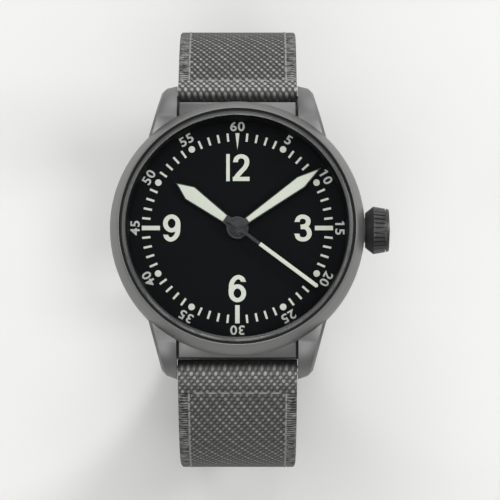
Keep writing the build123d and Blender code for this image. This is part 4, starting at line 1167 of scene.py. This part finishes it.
class WATCH_OT_long_strap(bpy.types.Operator):
    """Makes the 6 o'clock strap piece of canvas, with its seams, holes and pointed tail"""

    bl_idname = "watch.long_strap"
    bl_label = "Strap at 6 o'clock"

    def execute(self, context):
        cloth = context.scene.watch_cloth
        cross_seam = cloth.cross_seam_long
        end = long_line.total
        fold_end = -0.75 * MM
        holes = 7
        first_hole = 17.0 * MM
        hole_pitch = 6.5 * MM

        def width(distance):
            into = max(0.0, distance - (end - tail_taper))
            return strap_half_width - (strap_half_width - tail_half_width) * into / tail_taper

        def height(distance):
            if distance < end / 2:
                return eye_thickness(distance)
            reach = cloth.edge_round
            left = min(reach, max(0.0, end - distance))
            if left == reach:
                return half_thickness
            return half_thickness - reach + math.sqrt(reach**2 - (reach - left) ** 2) * 0.9

        places = strap_stations(end - 0.5 * MM, False)
        places += [end - left * MM for left in (0.35, 0.2, 0.1, 0.03, 0.0)]
        strap = band(long_line, places, width, height, cloth, -1)
        cutters = [bar_hole(bar_y, bar_z, -1)]
        tip = long_line.at(end)[0]
        for index in range(holes):
            hole = add(
                bpy.ops.mesh.primitive_cylinder_add,
                vertices=32,
                radius=0.9 * MM,
                depth=8 * MM,
                location=(0, -(tip.x + first_hole + index * hole_pitch), tip.y),
            )
            cutters.append(hole)
        cut(strap, cutters)
        finish = canvas("canvas_long", context, -1, cross_seam, fold_end)
        finish_piece(strap, "canvas_strap_long", "strap_long", finish)
        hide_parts("strap_long")
        sewn = seams(long_line, cross_seam, end - tail_taper, -1, cloth)
        thread = lacquer("thread_long", paint(context).thread, 0.75)
        finish_piece(sewn, "seams_long", "strap_long", thread)
        return {"FINISHED"}


def round_rectangle(half_width, low, high, radius, steps):
    """Points round a rectangle with round corners, each with its outward direction."""
    points = []
    for right, top, start in ((1, 1, 0), (-1, 1, 90), (-1, -1, 180), (1, -1, -90)):
        x = right * (half_width - radius)
        y = high - radius if top > 0 else low + radius
        for index in range(steps + 1):
            turn = math.radians(start + 90 * index / steps)
            outward = Vector((math.cos(turn), math.sin(turn)))
            points.append((Vector((x + radius * math.cos(turn), y + radius * math.sin(turn))), outward))
    return points


def keeper_loop(gap):
    """A woven band bent to a flat ring round both straps, lying level at the origin."""
    wall = 1.0 * MM
    half_length = 3.0 * MM
    strap_play = 0.2 * MM
    tail_room = 2.3 * MM
    longest_step = 0.8 * MM
    middle_x = strap_half_width + strap_play + wall / 2
    high = half_thickness + gap + wall / 2
    low = -half_thickness - gap - tail_room - wall / 2
    path = round_rectangle(middle_x, low, high, wall / 2, 6)
    dense = []
    for (spot, outward), (next_spot, next_outward) in zip(path, path[1:] + path[:1]):
        parts = max(1, round((next_spot - spot).length / longest_step))
        for share in [part / parts for part in range(parts)]:
            dense.append((spot.lerp(next_spot, share), outward.lerp(next_outward, share).normalized()))
    profile = [spot for spot, outward in round_rectangle(half_length, -wall / 2, wall / 2, wall * 0.4, 3)]
    body = bmesh.new()
    rings = []
    walked = 0.0
    for (spot, outward), (next_spot, next_outward) in zip(dense, dense[1:] + dense[:1]):
        ring = []
        for along, up in profile:
            corner = spot + outward * up
            ring.append((body.verts.new((corner.x, along, corner.y)), along, walked))
        rings.append([*ring, ring[0]])
        walked += (next_spot - spot).length
    rings.append([(vertex, along, walked) for vertex, along, start in rings[0]])
    return woven_object(body, rings, (), "keeper")


class WATCH_OT_keepers(bpy.types.Operator):
    """Makes the two canvas loops that hold the strap's tail"""

    bl_idname = "watch.keepers"
    bl_label = "Keepers"

    def execute(self, context):
        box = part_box("fixed_keeper")
        by_the_buckle = Matrix.Translation((0, (box[0].y + box[1].y) / 2, buckle_z))
        bend_centre = Matrix.Translation((0, widest_y - short_end_radius, widest_z))
        down_the_bend = Matrix.Rotation(math.radians(28.0), 4, "X")
        on_the_bend = bend_centre @ down_the_bend @ Matrix.Translation((0, 0, -short_end_radius))
        finish = canvas("canvas_keepers", context, 1, fineness=1.6)
        loose = 0.35 * MM
        for name, body, gap, place in (
            ("fixed_keeper", "strap_short", 0.0, by_the_buckle),
            ("sliding_keeper", "sliding_keeper", loose, on_the_bend),
        ):
            loop = keeper_loop(gap)
            loop.data.transform(place)
            finish_piece(loop, f"canvas_{name}", body, finish)
            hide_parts(name)
        return {"FINISHED"}


class WATCH_OT_buckle(bpy.types.Operator):
    """Gives the buckle and its tongue the case's coated steel"""

    bl_idname = "watch.buckle"
    bl_label = "Buckle"

    def execute(self, context):
        finishes = paint(context)
        steel = coated_steel("buckle_steel", finishes.steel)
        dress(["buckle_frame", "buckle_tang"], steel, 0.12 * MM)
        dress(["buckle_bar"], bare_metal("buckle_bar_steel", finishes.bare_steel))
        return {"FINISHED"}


class WATCH_PT_sidebar(bpy.types.Panel):
    """Lists the steps that dress the watch"""

    bl_idname = "WATCH_PT_sidebar"
    bl_label = "Pilot watch"
    bl_space_type = "VIEW_3D"
    bl_region_type = "UI"
    bl_category = "Watch"

    def draw(self, context):
        for group in ("watch_dial", "watch_cloth", "watch_finishes", "watch_studio"):
            settings = getattr(context.scene, group)
            column = self.layout.column(align=True)
            for name in settings.__annotations__:
                column.prop(settings, name)
        for step in steps:
            self.layout.operator(step.bl_idname)


steps = (
    WATCH_OT_camera_and_light,
    WATCH_OT_case,
    WATCH_OT_crystal,
    WATCH_OT_dial,
    WATCH_OT_numbers,
    WATCH_OT_hands,
    WATCH_OT_movement,
    WATCH_OT_short_strap,
    WATCH_OT_long_strap,
    WATCH_OT_keepers,
    WATCH_OT_buckle,
)
groups = {
    "watch_dial": DialPrint,
    "watch_cloth": StrapCloth,
    "watch_finishes": Finishes,
    "watch_studio": Studio,
}


def register():
    for kind in (*groups.values(), *steps, WATCH_PT_sidebar):
        bpy.utils.register_class(kind)
    for name, kind in groups.items():
        setattr(bpy.types.Scene, name, bpy.props.PointerProperty(type=kind))


def unregister():
    for name in groups:
        delattr(bpy.types.Scene, name)
    for kind in reversed((*groups.values(), *steps, WATCH_PT_sidebar)):
        bpy.utils.unregister_class(kind)


def main():
    register()
    for step in steps:
        family, action = step.bl_idname.split(".")
        getattr(getattr(bpy.ops, family), action)()


if __name__ == "__main__":
    main()
